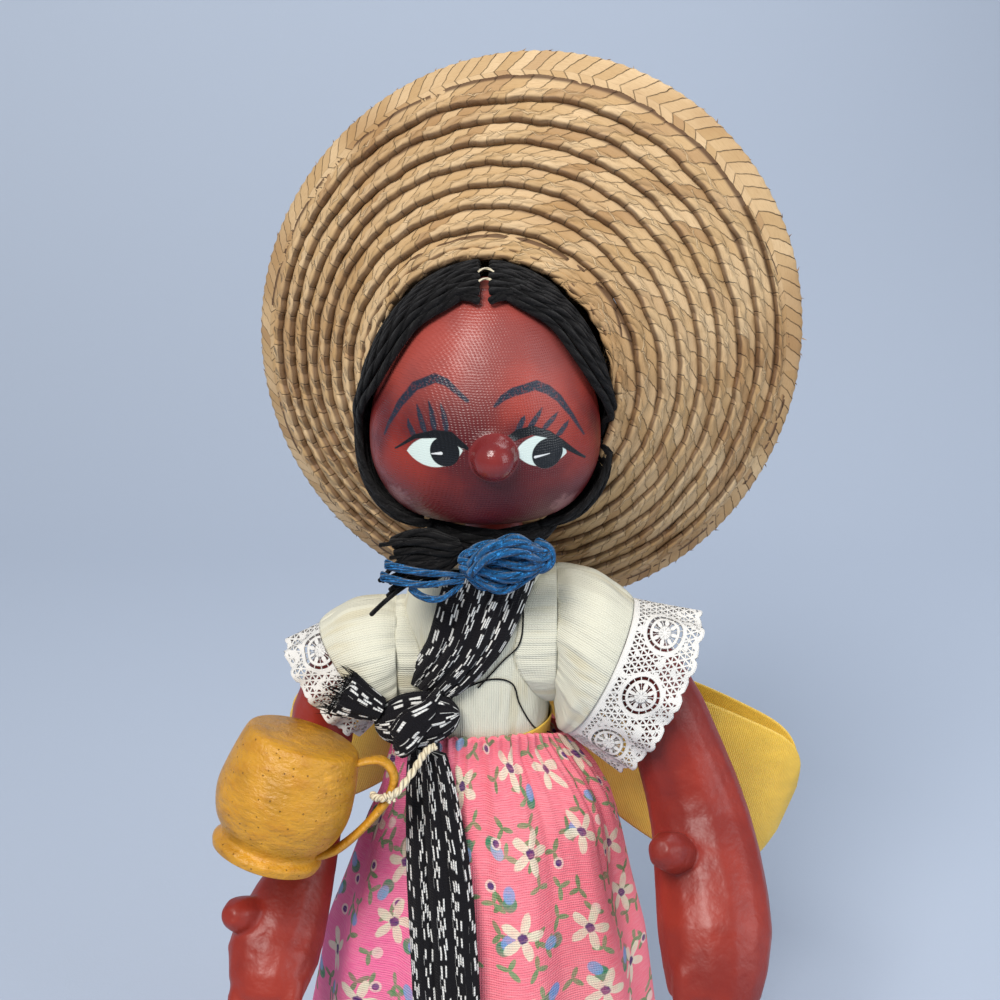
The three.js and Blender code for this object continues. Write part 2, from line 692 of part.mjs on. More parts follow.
// Yarn under the chin: gathered hair, the cut braid end, and the blue tie with its ends
const neckSpace = sweep([
  [neckCentre.x, neckCentre.y, torsoTop - 20, neckRadius + gap, neckRadius + gap],
  [neckCentre.x, neckCentre.y, chinHeight + 8, neckRadius + gap, neckRadius + gap],
], 16, vec(1, 0, 0));
const hairSpaces = [headForm(hairClearance + hairThickness + gap, 24, 14), neckSpace];
const underChin = (rows) => rows.map((row) => row.with(2, chinHeight - row[2]));
add('hair_gather', cut(sweep(spline(underChin([
  [17, -6, 2.5, 2, 2], [12, -12.5, 3.8, 3.6, 3.4], [2, -15.5, 4.8, 4.2, 3.6],
  [-9, -14.5, 4.4, 4, 3.6], [-15.5, -8, 2.8, 2.4, 2.2],
]), 12), 10, vec(0, 0, 1)), ...hairSpaces), 'hair');
add('braid_tuft', cut(sweep(spline(underChin([
  [-8, -21, 4, 2.6, 2.4], [-11.5, -22, 4.8, 6, 3.4], [-17, -22, 6, 8.8, 4],
  [-23, -22, 8, 9.2, 3.2], [-26, -22, 9, 7.5, 1.6],
]), 10), 12, vec(0.2, 0, 1)), ...hairSpaces), 'hair');
add('hair_bow', cut(sweep(spline(underChin([
  [-6.4, -23, 8, 3, 2], [-3, -24, 7.5, 7, 4], [3, -24.6, 7.2, 8.4, 4.6],
  [9, -24, 6.8, 7.4, 4.2], [14.4, -22.5, 6, 4, 2.6],
]), 12), 12, vec(0, 0, 1)), ...hairSpaces), 'blueYarn');
add('hair_bow_ends', sweep(spline(underChin([
  [-7.4, -25.2, 12.6, 1.1, 1.1], [-12.5, -26.4, 13, 1.2, 1.2],
  [-19, -27.2, 12, 1.2, 1.2], [-28, -25.6, 8.6, 1.1, 1.1],
]), 10), 6, vec(0, 0, 1)), 'blueYarn');

// A shoe upper: a low rounded form that seats on the sole plate
const shoeMiddle = heelBack - shoeLength / 2;
function shoeUpper(x) {
  const low = soleThickness + gap;
  const rows = [[0, 1], [0.35, 0.98], [0.7, 0.82], [0.92, 0.55], [1, 0.3]];
  return skin(rows.map(([share, size]) => {
    const middle = shoeMiddle + share * (shoeLength / 2 - 8);
    const across = vec(size * shoeWidth / 2, 0, 0);
    const along = vec(0, size * (shoeLength / 2 - share * 8), 0);
    return ringOf(vec(x, middle, low + share * (shoeHeight - low)), across, along, 20);
  }));
}

// Legs, wires and shoes, hidden by the skirt
for (const [name, side] of [['left', 1], ['right', -1]]) {
  const top = legTop(side);
  const legRow = (z, radius) => [top.x, 0, z, radius, radius];
  const legHigh = hipHeight - gap;
  add(`leg_${name}`, cut(sweep(spline([
    legRow(legHigh, hipRadius - 1), legRow(legHigh - 20, hipRadius), legRow(80, hipRadius * 0.84),
    legRow(40, hipRadius * 0.78), legRow(ankleHeight, ankleRadius),
  ], 6), 12, vec(1, 0, 0)), sweep([
    legRow(legHigh + 1, wireBore), legRow(ankleHeight + 6, wireBore),
  ], 8, vec(1, 0, 0))), 'skin');
  add(`leg_wire_${name}`, sweep([
    legRow(legHigh, wireRadius), legRow(ankleHeight + 6 + gap, wireRadius),
  ], 8, vec(1, 0, 0)), 'wire');
  const half = shoeWidth / 2 + weltWidth;
  const outline = new THREE.Shape();
  outline.absarc(top.x, heelBack - shoeLength + shoeWidth / 2, half, PI, 2 * PI);
  outline.absellipse(top.x, heelBack + weltWidth - half * 0.8, half * 0.86, half * 0.8, 0, PI);
  add(`sole_${name}`, welded(new THREE.ExtrudeGeometry(outline, {
    depth: soleThickness, bevelEnabled: false, curveSegments: 6,
  })), 'sole');
  const upper = shoeUpper(top.x);
  add(`shoe_${name}`, cut(upper, sweep([
    legRow(ankleHeight + 8, ankleRadius + 1), legRow(ankleHeight - gap, ankleRadius + 0.6),
  ], 12, vec(1, 0, 0))), 'leather');
}

// Bow behind the waist: a knot, two drooping loops and two tails of wide satin ribbon
const backOf = (x, z) => -skirtFront(x, z);
const bowY = backOf(torsoCentre, waistHeight - 8) + gap + 3.3;
add('bow_knot', sweep(spline(belowWaist([
  [-8, bowY, 7, 3, 2.2], [-4, bowY, 6, 6.4, 4], [2, bowY, 6, 6.8, 4.2], [8, bowY, 7, 3, 2.2],
], 2), 9), 12, vec(0, 0, 1)), 'satin');
add('bow_loop_left', sweep(spline(belowWaist([
  [9.4, bowY + 1, 8, 4, 2], [18, bowY + 8, 13, 12, bowDepth], [34, bowY + 11, 23, 20, bowDepth + 1.4],
  [54, bowY + 9, 34, 26, bowDepth + 1.2], [74, bowY + 4, 43, 28, bowDepth],
  [88, bowY + 1, 47, 24, bowDepth - 1.5], [95, bowY, 48, 13, 1.6],
], 2), 12), 12, vec(0.3, 0, 1)), 'satin');
add('bow_loop_right', sweep(spline(belowWaist([
  [-9.4, bowY + 1, 8, 4, 2], [-18, bowY + 8, 12, 11, bowDepth], [-34, bowY + 12, 21, 18, bowDepth + 1],
  [-50, bowY + 11, 29, 20, bowDepth], [-62, bowY + 8, 34, 16, 2],
], 2), 9), 12, vec(-0.3, 0, 1)), 'satin');
const bowTail = (rows, lift) => sweep(spline(belowWaist(rows, 1).map(([x, z, half]) => [
  x, backOf(x - Math.sign(x) * half, z) + lift, z, half, bowTailHalf,
]), 8), 10, vec(1, 0, 0));
add('bow_tail_left', bowTail([
  [6, 20, 6], [12, 38, 12], [15, 66, 14], [16, 96, 14.5],
], gap + 1.3), 'satin');
add('bow_tail_right', bowTail([
  [-9, 20, 5], [-16, 40, 11], [-20, 60, 12.5], [-22, 82, 13],
], gap - 0.05), 'satin');

// Jug: a turned clay cup hung mouth down, with a flat strap handle
const jug = new THREE.Group();
jug.position.set(jugPlace.x, jugPlace.y, jugPlace.z);
jug.rotation.set(-radians(jugLean), radians(jugTilt), 0);
doll.add(jug);
const jugOuter = [
  [jugMouth, 0], [jugMouth + 0.4, 2], [jugMouth - 1.2, 4.4], [jugRadius - 1.6, jugHeight * 0.27],
  [jugRadius, jugHeight * 0.46], [jugRadius - 0.5, jugHeight * 0.66], [jugBase + 1.2, jugHeight - 5],
  [jugBase, jugHeight - 1], [jugBase - 1, jugHeight],
];
const jugInner = jugOuter.slice(0, -2).map(([r, z]) => [r - jugWall, z]);
const jugFloor = jugHeight - 2.4;
const jugProfile = [
  [0, jugHeight], ...jugOuter.slice().reverse(), ...jugInner, [jugBase - 4, jugFloor], [0, jugFloor],
].map(([r, z]) => new THREE.Vector2(r, z));
const jugBody = welded(new THREE.LatheGeometry(jugProfile, 24).rotateX(PI / 2));
add('jug_body', jugBody, 'clay', jug);
const handleRow = ([x, z]) => [x, 0, z, handleHalfWidth, handleHalfThickness];
const handle = sweep(spline([
  [jugMouth - 1.5, 3.6], [jugMouth + 3.4, 7.6], [jugRadius + 4.6, jugHeight * 0.46],
  [jugRadius + handleReach, jugHeight * 0.74], [jugRadius + handleReach - 0.6, jugHeight * 0.93],
  [jugRadius + 3, jugHeight + 0.2], [jugBase - 0.5, jugHeight - 3],
].map(handleRow), 16), 8, vec(0, 1, 0));
const jugSpace = welded(new THREE.LatheGeometry([
  [0, -1], ...jugOuter.map(([r, z]) => [r + gap, z]), [0, jugHeight + gap],
].map(([r, z]) => new THREE.Vector2(r, z)).reverse(), 24).rotateX(PI / 2));
add('jug_handle', cut(handle, jugSpace), 'clay', jug);
const knotFront = (x, z) => {
  const wide = sqrt(max(1 - ((x - knotPlace.x) / knotHalf.x) ** 2, 0));
  const rise = min(abs(z - knotPlace.z) / (knotHalf.z * wide), 1);
  return knotDepth - knotHalf.y * wide * sqrt(1 - rise * rise);
};
const tie = vec(knotPlace.x + 5, 0, knotPlace.z - 5);
tie.y = knotFront(tie.x, tie.z) - stringRadius - gap - 0.2;
jug.updateMatrix();
const grip = vec(jugRadius + handleReach - 0.2, 0, jugHeight * 0.82).applyMatrix4(jug.matrix);
const gripFront = grip.y - handleHalfWidth - stringRadius - gap;
const half = tie.clone().add(vec(grip.x, gripFront, grip.z)).divideScalar(2);
add('jug_string', sweep(spline([
  [tie.x, tie.y, tie.z], [tie.x - 2.5, tie.y - 1.6, tie.z - 0.8],
  [half.x, half.y - 1.6, half.z - 0.6],
  [grip.x + 1.2, gripFront - 0.3, grip.z + 0.4], [grip.x - 3, gripFront, grip.z - 0.6],
  [grip.x - 4.6, grip.y - 1, grip.z - 1.6],
].map((p) => [...p, stringRadius, stringRadius]), 14), 8, vec(0, 0, 1)), 'cotton');

// Hat: worn tipped far back, so that the brim stands round the face
const hat = new THREE.Group();
hat.position.set(openingOffset.x, openingOffset.y, chinHeight + openingOffset.z);
hat.rotation.order = 'ZXY';
hat.rotation.z = -radians(brimTurn);
hat.rotation.x = -PI / 2 + radians(brimTip);
doll.add(hat);
const brimLength = braidRings * braidPitch;
const slope = radians(brimSlope);
const ovalAt = (angle, run) => {
  const share = run / (brimLength + edgeBandWidth);
  return 1 + brimOval * share * cos(2 * (angle - radians(brimOvalTurn)));
};
const hatRing = (run, lift) => Array.from({ length: 32 }, (_, k) => {
  const angle = (2 * PI * k) / 32;
  const reach = (openingRadius + run * cos(slope) - lift * sin(slope)) * ovalAt(angle, run);
  return vec(cos(angle) * reach, -sin(angle) * reach, run * sin(slope) + lift * cos(slope));
});
const brimStart = strawThickness + gap;
const ringRun = (brimLength - brimStart) / braidRings;
const brimFront = Array.from({ length: braidRings }, (_, ring) => [
  [brimStart + ring * ringRun + 0.05, braidStep],
  [brimStart + (ring + 1) * ringRun - 0.05, 0],
]).flat();
const brimBack = [1, 0.75, 0.5, 0.25, 0].map((share) => [
  brimStart + 0.05 + share * (brimLength - brimStart - 0.1), strawThickness + braidStep,
]);
hat.updateMatrix();
const hairRoom = headForm(hairClearance + hairThickness + 2 * gap, 24, 14)
  .applyMatrix4(hat.matrix.clone().invert());
const brim = skin([...brimFront, ...brimBack].map(([run, lift]) => hatRing(run, lift)), true);
add('hat_brim', cut(brim, hairRoom), 'straw', hat);
const bandStart = brimLength + gap;
const bandSection = [
  [bandStart, 0.5], [bandStart + 2, 0],
  [bandStart + edgeBandWidth - 1.2, 0.1], [bandStart + edgeBandWidth, 0.8],
  [bandStart + edgeBandWidth, edgeBandThickness], [bandStart, edgeBandThickness + 0.4],
];
add('hat_edge_band', skin(bandSection.map(([run, lift]) => hatRing(run, lift)), true), 'straw', hat);
const crownOuter = [
  [openingRadius, 0], [openingRadius - 1, crownDepth * 0.3], [openingRadius - 3.5, crownDepth * 0.61],
  [openingRadius - 9, crownDepth * 0.83], [openingRadius - 19, crownDepth * 0.957],
];
const crownInner = crownOuter.map(([r, z]) => [
  r - strawThickness, z * (crownDepth - strawThickness) / crownDepth,
]);
const crownProfile = [
  [0, crownDepth - strawThickness], ...crownInner.slice().reverse(), ...crownOuter, [0, crownDepth],
].map(([r, z]) => new THREE.Vector2(r, z));
const crown = welded(new THREE.LatheGeometry(crownProfile, 24).rotateX(PI / 2));
add('hat_crown', cut(crown, hairRoom), 'strawDark', hat);

export default doll;
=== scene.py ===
"""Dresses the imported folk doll: painted cloth, yarn hair, plaited straw hat, clothes and clay jug."""

import math
from functools import reduce

import bmesh
import bpy
import numpy as np
from bpy.props import FloatProperty, FloatVectorProperty, IntProperty, PointerProperty
from mathutils import Matrix, Vector


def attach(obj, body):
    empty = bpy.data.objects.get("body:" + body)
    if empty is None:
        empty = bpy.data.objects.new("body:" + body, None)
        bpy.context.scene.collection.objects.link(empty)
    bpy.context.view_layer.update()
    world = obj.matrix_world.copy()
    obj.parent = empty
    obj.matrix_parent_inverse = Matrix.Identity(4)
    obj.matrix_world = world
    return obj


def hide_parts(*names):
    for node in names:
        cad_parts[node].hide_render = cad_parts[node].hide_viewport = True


bl_info = {
    "name": "Folk doll",
    "version": (1, 0, 0),
    "blender": (4, 5, 0),
    "location": "View3D > Sidebar > Doll",
    "description": "Dresses the packed folk doll in paint, yarn, straw and cloth",
    "category": "Object",
}

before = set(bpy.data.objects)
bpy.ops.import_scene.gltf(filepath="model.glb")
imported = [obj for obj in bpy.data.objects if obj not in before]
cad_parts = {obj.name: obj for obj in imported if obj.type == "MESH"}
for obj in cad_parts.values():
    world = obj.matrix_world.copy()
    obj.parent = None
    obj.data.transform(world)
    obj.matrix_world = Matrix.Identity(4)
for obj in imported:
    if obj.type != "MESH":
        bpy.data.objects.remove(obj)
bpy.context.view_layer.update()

# Sizes are in millimetres in the doll's own frame: it faces -Y and its axis stands at the origin.
TAU = 2 * math.pi
DOLL_AXIS = np.array([-10.6, -4.2, 0.0])
GAP = 0.4
CHIN_HEIGHT = 247.0
HEAD_SIZE = (61.0, 56.0, 62.0)
HEAD_CENTRE = -1.3
NOSE_RADIUS = 5.4
NOSE_PLACE = (1.1, 269.94)
HAIR_CLEARANCE = 0.9
OPENING_RADIUS = 35.0
OPENING_PLACE = (0.5, 9.0, 277.7)
HAT_TURN, HAT_TIP = math.radians(-13.7), math.radians(-1.0)
BRIM_SLOPE = math.radians(37.3)
BRAID_ROUNDS = 8
BRAID_PITCH = 6.25
BRIM_END = BRAID_ROUNDS * BRAID_PITCH
EDGE_BAND = 8.5
TORSO_CENTRE = -4.0
TORSO_HALF = (19.5, 15.2)
SHOULDER_TOP = 223.0
COLLAR_HEIGHT = 233.0
BLOUSE_OVER = 2.1
WAIST_HEIGHT = 178.0
HEM_HEIGHT = 30.0
ARMHOLE_RADIUS = 10.5
KNOT_HALF = (12.0, 6.2, 8.0)
KNOT_PLACE = (-20.0, 191.0)
JUG_PLACE = (-60.4, -38.6, 160.6)
JUG_TURN = (-17.0, 18.7)
RIB_PITCH = 0.62
LACE_REPEAT = 19.0


# ---- Mesh kit


def spline(rows, steps):
    """Rows of numbers, smoothly run through by a Catmull-Rom spline."""
    rows = np.array(rows, float)
    last = len(rows) - 1
    place = np.linspace(0, last, steps + 1)
    index = np.minimum(place.astype(int), last - 1)
    t = (place - index)[:, None]
    here, after = rows[index], rows[index + 1]
    rise = (after - rows[np.maximum(index - 1, 0)]) / 2
    fall = (rows[np.minimum(index + 2, last)] - here) / 2
    return here + t * (rise + t * (3 * (after - here) - 2 * rise - fall + t * (2 * (here - after) + rise + fall)))


def row_at(rows, height):
    """The columns of rows, sorted from top to bottom, at the given heights."""
    rows = np.array(rows, float)[::-1]
    return [np.interp(height, rows[:, 0], rows[:, k]) for k in range(1, rows.shape[1])]


def swirl(seed, size, *place):
    """Smooth values from -1 to 1 over the places, for soft wrinkles."""
    rng = np.random.default_rng(seed)
    total = 0.0
    for _ in range(7):
        angle = sum(rng.normal(0, 1) * np.asarray(p) for p in place) / size
        total = total + np.sin(angle + rng.uniform(0, TAU))
    return total / 4


def circle(count):
    """One row of angles, evenly once round."""
    return np.linspace(0, TAU, count, endpoint=False)[None]


def column(start, end, count):
    return np.linspace(start, end, count)[:, None]


def stacked(x, y, z):
    """Points from their coordinates, each spread to the same rows and columns."""
    return np.stack(np.broadcast_arrays(x, y, z), -1)


def unit(vectors):
    return vectors / np.linalg.norm(vectors, axis=-1)[..., None]


def length_along(path):
    """How far along its path each point lies."""
    return np.r_[0, np.cumsum(np.linalg.norm(np.diff(path, axis=0), axis=1))]


def chart(across, along):
    """A flat map from the places of its columns and of its rows."""
    return np.stack(np.meshgrid(across, along), -1)


def way_along(path):
    """The way, the upright side and the level side of a path at each point."""
    way = unit(np.gradient(path, axis=0))
    rise = unit(np.array([0, 0, 1.0]) - way * way[:, 2:3])
    return way, rise, np.cross(way, rise)


def grid_faces(rows, columns, around):
    across = columns if around else columns - 1
    r, c = np.meshgrid(np.arange(rows - 1), np.arange(across), indexing="ij")
    here, beside = r * columns + c, r * columns + (c + 1) % columns
    return np.stack([here, beside, beside + columns, here + columns], -1).reshape(-1, 4)


def grid_flat(points, around):
    """A flat map in mm: mean lengths along the rows and the columns."""
    closed = np.concatenate([points, points[:, :1]], 1) if around else points
    across = np.linalg.norm(np.diff(closed, axis=1), axis=2).mean(0)
    along = np.linalg.norm(np.diff(closed, axis=0), axis=2).mean(1)
    return chart(np.r_[0, np.cumsum(across)], np.r_[0, np.cumsum(along)])


def linked(name, data):
    """A new object in the scene."""
    thing = bpy.data.objects.new(name, data)
    bpy.context.scene.collection.objects.link(thing)
    return thing


def new_piece(name, points, faces=(), finish=None):
    """A smooth shaded mesh object from points in metres."""
    mesh = bpy.data.meshes.new(name)
    mesh.from_pydata(np.asarray(points).tolist(), [], faces)
    if finish:
        mesh.materials.append(finish)
    mesh.polygons.foreach_set("use_smooth", [True] * len(mesh.polygons))
    mesh.update()
    return linked(name, mesh)


class Shape:
    """Points in mm, faces and flat corners that are gathered into one piece."""

    def __init__(self):
        self.points, self.faces, self.flat = [], [], []
        self.count = 0

    def grid(self, points, around=True, flat=None, caps=False):
        """Rows of points; caps close both ends of a tube."""
        points = np.asarray(points, float)
        rows, columns = points.shape[:2]
        flat = grid_flat(points, around) if flat is None else flat
        corners = np.stack([flat[:-1, :-1], flat[:-1, 1:], flat[1:, 1:], flat[1:, :-1]], 2).reshape(-1, 2)
        self.faces.extend((grid_faces(rows, columns, around) + self.count).tolist())
        self.flat.append(corners)
        self.points.append(points.reshape(-1, 3))
        base = self.count
        self.count += rows * columns
        for row in (0, rows - 1) if caps else ():
            self.points.append(points[row].mean(0)[None])
            for k in range(columns):
                edge = [base + row * columns + k, base + row * columns + (k + 1) % columns]
                self.faces.append([self.count, *(edge if row else edge[::-1])])
                self.flat.append(np.repeat(flat[row, k][None], 3, 0))
            self.count += 1
        return self

    def tube(self, path, radius, sides=8, start=0.0):
        """A round yarn or cord with rounded ends; its map runs 0 to 1 round it and in mm along it."""
        path = np.asarray(path, float)
        radius = np.broadcast_to(radius, len(path)).astype(float)
        way = unit(np.gradient(path, axis=0))
        across, normals = np.cross(way[0], [0.31, 0.52, 0.79]), []
        for step in way:
            across = across - step * across.dot(step)
            across /= np.linalg.norm(across)
            normals.append(across)
        normals = np.array(normals)
        binormals = np.cross(way, normals)
        angle = circle(sides)[0]
        ring = normals[:, None] * np.cos(angle)[:, None] + binormals[:, None] * np.sin(angle)[:, None]
        body = path[:, None] + ring * radius[:, None, None]
        ends = [path[k] + (way[k] * side * 0.45 + ring[k] * 0.6) * radius[k] for k, side in ((0, -1), (-1, 1))]
        points = np.concatenate([ends[0][None], body, ends[1][None]])
        flat = chart(np.linspace(0, 1, sides + 1), length_along(points.mean(1)) + start)
        return self.grid(points, flat=flat, caps=True)

    def piece(self, name, finish, turned=None):
        """One object in the row frame, in metres."""
        points = np.concatenate(self.points)
        if turned is not None:
            matrix = np.array(turned)
            points = points @ matrix[:3, :3].T + matrix[:3, 3]
        thing = new_piece(name, (points + DOLL_AXIS) / 1000, self.faces, finish)
        thing.data.uv_layers.new(name="flat").data.foreach_set("uv", np.concatenate(self.flat).ravel())
        return thing

    def solid(self, name, finish, turned=None):
        """One closed piece, with its faces turned out by its volume."""
        thing = self.piece(name, finish, turned)
        mesh = thing.data
        mesh.calc_loop_triangles()
        points = np.zeros(len(mesh.vertices) * 3)
        mesh.vertices.foreach_get("co", points)
        corners = np.zeros(len(mesh.loop_triangles) * 3, int)
        mesh.loop_triangles.foreach_get("vertices", corners)
        a, b, c = np.moveaxis(points.reshape(-1, 3)[corners.reshape(-1, 3)], 1, 0)
        if (a * np.cross(b, c)).sum() < 0:
            mesh.flip_normals()
        return thing


def of_faces(mesh, measure, wide=3):
    """One value or vector for each face."""
    values = np.zeros(len(mesh.polygons) * wide)
    mesh.polygons.foreach_get(measure, values)
    return values.reshape(-1, wide)


def finished(thing, *steps):
    """Applies modifiers, each given as its type and settings."""
    for kind, settings in steps:
        modifier = thing.modifiers.new(kind.title(), kind)
        for key, value in settings.items():
            setattr(modifier, key, value)
    bpy.context.view_layer.update()
    graph = bpy.context.evaluated_depsgraph_get()
    mesh = bpy.data.meshes.new_from_object(thing.evaluated_get(graph), depsgraph=graph)
    thing.modifiers.clear()
    old, thing.data = thing.data, mesh
    mesh.name = thing.name
    bpy.data.meshes.remove(old)
    return thing


def settle(thing, body, slot, *nodes):
    """Puts a finished piece on its body, in place of its CAD nodes."""
    if nodes:
        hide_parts(*nodes)
    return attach(thing, body)


# ---- Shader kit


def owner(values):
    """The finish that the sockets among some values belong to."""
    return next(value.finish for value in values if isinstance(value, Socket))


def maths(operation, reflected=False):
    """An operator or a function that adds one kind of Math node."""

    def added(*values):
        return owner(values).node("Math", {"operation": operation}, values[::-1] if reflected else values)

    return added


class Socket:
    """One value in a material; arithmetic on it adds Math nodes."""

    def __init__(self, finish, output):
        self.finish, self.output = finish, output

    __add__, __radd__ = maths("ADD"), maths("ADD", True)
    __sub__, __rsub__ = maths("SUBTRACT"), maths("SUBTRACT", True)
    __mul__, __rmul__ = maths("MULTIPLY"), maths("MULTIPLY", True)
    __truediv__, __rtruediv__ = maths("DIVIDE"), maths("DIVIDE", True)
    __pow__, __abs__ = maths("POWER"), maths("ABSOLUTE")
    __gt__, __lt__ = maths("GREATER_THAN"), maths("LESS_THAN")


sine, cosine, root, heading = (maths(kind) for kind in ("SINE", "COSINE", "SQRT", "ARCTAN2"))
whole, fraction, sign = (maths(kind) for kind in ("FLOOR", "FRACT", "SIGN"))
least, most = maths("MINIMUM"), maths("MAXIMUM")


class Finish:
    """A material under one Principled shader, built from sockets."""

    def __init__(self, name, **fixed):
        self.material = bpy.data.materials.new(name)
        self.material.use_nodes = True
        self.tree = self.material.node_tree
        self.shader = self.tree.nodes["Principled BSDF"]
        for key, value in fixed.items():
            self.shader.inputs[key.replace("_", " ")].default_value = value

    def node(self, kind, settings=None, values=(), out=0):
        """A node of a kind, with its settings made first and its sockets then fed by place or name."""
        node = self.tree.nodes.new("ShaderNode" + kind)
        for key, value in (settings or {}).items():
            setattr(node, key, value)
        for key, value in values.items() if isinstance(values, dict) else enumerate(values):
            self.feed(node.inputs[key], value)
        return Socket(self, node.outputs[out])

    def feed(self, socket, value):
        if isinstance(value, Socket):
            self.tree.links.new(value.output, socket)
        elif socket.type == "RGBA" and len(value) == 3:
            socket.default_value = (*value, 1)
        else:
            socket.default_value = value

    def place(self, scale=1000.0):
        """Object coordinates, in mm."""
        return vector("SCALE", self.node("TexCoord", None, (), "Object"), scale=scale)

    def flat(self):
        """The piece's own flat map, in mm."""
        return self.node("UVMap", {"uv_map": "flat"})

    def done(self, colour, roughness, height=None, depth=0.2, strength=1.0, **links):
        """Feeds the shader; height is in parts of depth, which is in mm."""
        for key, value in {"Base_Color": colour, "Roughness": roughness, **links}.items():
            self.feed(self.shader.inputs[key.replace("_", " ")], value)
        if height is not None:
            sockets = {"Strength": strength, "Distance": depth / 1000, "Height": height}
            self.feed(self.shader.inputs["Normal"], self.node("Bump", None, sockets))
        return self.material


def vector(operation, *values, scale=None, out=0):
    """A Vector Math node; its out 1 is a number."""
    sockets = dict(enumerate(values))
    if scale is not None:
        sockets[3] = scale
    return owner(sockets.values()).node("VectorMath", {"operation": operation}, sockets, out)


def apart(place, spot):
    """The distance between two places."""
    return vector("DISTANCE", place, spot, out=1)


def split(place):
    node = place.finish.node("SeparateXYZ", None, [place]).output.node
    return [Socket(place.finish, output) for output in node.outputs]


def joined(x=0.0, y=0.0, z=0.0):
    return owner((x, y, z)).node("CombineXYZ", None, [x, y, z])


def mix(share, low, high):
    """Low where the share is 0, high where it is 1."""
    sockets = {0: share, 6: low, 7: high}
    return owner(sockets.values()).node("Mix", {"data_type": "RGBA"}, sockets, 2)


def layered(colour, *layers):
    """A colour under layers of paint, each given as its share and its colour."""
    return reduce(lambda below, layer: mix(layer[0], below, layer[1]), layers, colour)


def noise(place, scale, detail=2.0, roughness=0.5):
    sockets = {"Vector": place, "Scale": scale, "Detail": detail, "Roughness": roughness}
    return place.finish.node("TexNoise", None, sockets)


def cells(place, scale, **settings):
    """The distance to the nearest of scattered spots."""
    return place.finish.node("TexVoronoi", settings, {"Vector": place, "Scale": scale, "Randomness": 1.0}, "Distance")


def chance(*values):
    """A random number from 0 to 1 for each whole value."""
    return owner(values).node("TexWhiteNoise", {"noise_dimensions": "3D"}, {"Vector": joined(*values)})


def smooth(value, low, high):
    """0 below low, 1 above high, also where low is the greater."""
    sockets = {0: value, 1: low, 2: high}
    if low > high:
        sockets.update({1: high, 2: low, 3: 1.0, 4: 0.0})
    return value.finish.node("MapRange", {"interpolation_type": "SMOOTHSTEP"}, sockets)


def turned(place, angle):
    return place.finish.node("VectorRotate", {"rotation_type": "Z_AXIS"}, {"Vector": place, "Angle": angle})


def toned(colour, share, more=0.0):
    """A colour at a share of its strength, held at 1."""
    return tuple(min(k * share + more, 1) for k in colour)


def looks(group):
    """The sizes and colours that a user has set for one kind of piece."""
    return getattr(bpy.context.scene, "doll_" + group)


FINISHES = {}


def finish_of(maker, *words):
    """Each finish is made once."""
    key = (maker.__name__, *words)
    if key not in FINISHES:
        FINISHES[key] = maker(*words)
    return FINISHES[key]


# ---- Painted cloth

# Brush strokes on the face, in mm from the chin's middle: their points, and half their width at each.
BROWS = [
    ([(-25.4, 24.6), (-24.1, 27.9), (-21.0, 33.6), (-17.1, 38.4), (-12.0, 41.0), (-9.3, 40.4), (-4.1, 36.5)],
     [0.2, 0.4, 0.8, 1.0, 1.05, 0.9, 0.5]),
    ([(2.7, 35.4), (4.6, 37.2), (7.1, 38.4), (12.7, 39.4), (15.7, 37.9), (18.5, 35.4), (21.9, 30.5), (25.2, 24.7)],
     [0.4, 0.8, 1.05, 1.1, 1.0, 0.8, 0.5, 0.2]),
]
LASH_WIDTHS = [0.18, 0.65, 0.75, 0.35]
LASHES = [
    [(-18.9, 30.4), (-18.6, 29.0), (-17.8, 27.4), (-16.9, 26.4)],
    [(-16.6, 34.2), (-15.9, 32.0), (-15.0, 29.2), (-14.4, 27.8)],
    [(-13.6, 35.4), (-12.9, 33.0), (-12.4, 30.2), (-12.0, 28.2)],
    [(-10.6, 35.2), (-9.9, 33.0), (-9.4, 30.4), (-9.2, 28.4)],
    [(9.9, 32.6), (9.5, 31.8), (8.6, 30.0), (7.6, 28.6)],
    [(14.2, 33.9), (13.2, 32.4), (11.7, 30.4), (10.6, 29.0)],
    [(18.2, 32.2), (17.0, 31.0), (15.4, 29.6), (14.2, 28.6)],
    [(21.0, 29.5), (20.2, 28.6), (18.9, 27.2), (17.8, 26.4)],
]
LIDS = [
    ([(-22.4, 22.3), (-17.2, 26.6), (-12.1, 28.0), (-8.4, 27.6), (-4.3, 25.2)], [0.2, 0.5, 1.0, 1.4, 0.5]),
    ([(5.2, 26.9), (8.5, 28.4), (11.8, 29.0), (15.8, 27.4), (19.1, 24.6), (25.6, 18.5)],
     [0.8, 1.25, 1.1, 0.9, 0.8, 0.25]),
]
GLINTS = [([(-13.0, 23.0), (-10.6, 23.4)], [0.12, 0.38]), ([(12.6, 22.2), (16.2, 22.5)], [0.32, 0.1])]
# The left, top, right and bottom of each eye, the middle and radius of each iris, and of each pale rub.
EYES = [
    [(-19.3, 22.6), (-13.1, 27.2), (-5.2, 24.6), (-11.9, 19.7)],
    [(7.6, 24.2), (14.0, 27.6), (20.6, 21.6), (14.4, 19.6)],
]
IRISES = [((-9.7, 23.8), 3.7), ((15.7, 22.6), 3.9)]
RUBS = [((-22.5, 8.0), 4.6), ((20.5, 6.0), 5.0)]
INK, EYE_WHITE, EYE_BLACK, GLINT = (0.012, 0.018, 0.035), (0.62, 0.72, 0.68), (0.004, 0.005, 0.007), (0.7, 0.72, 0.72)


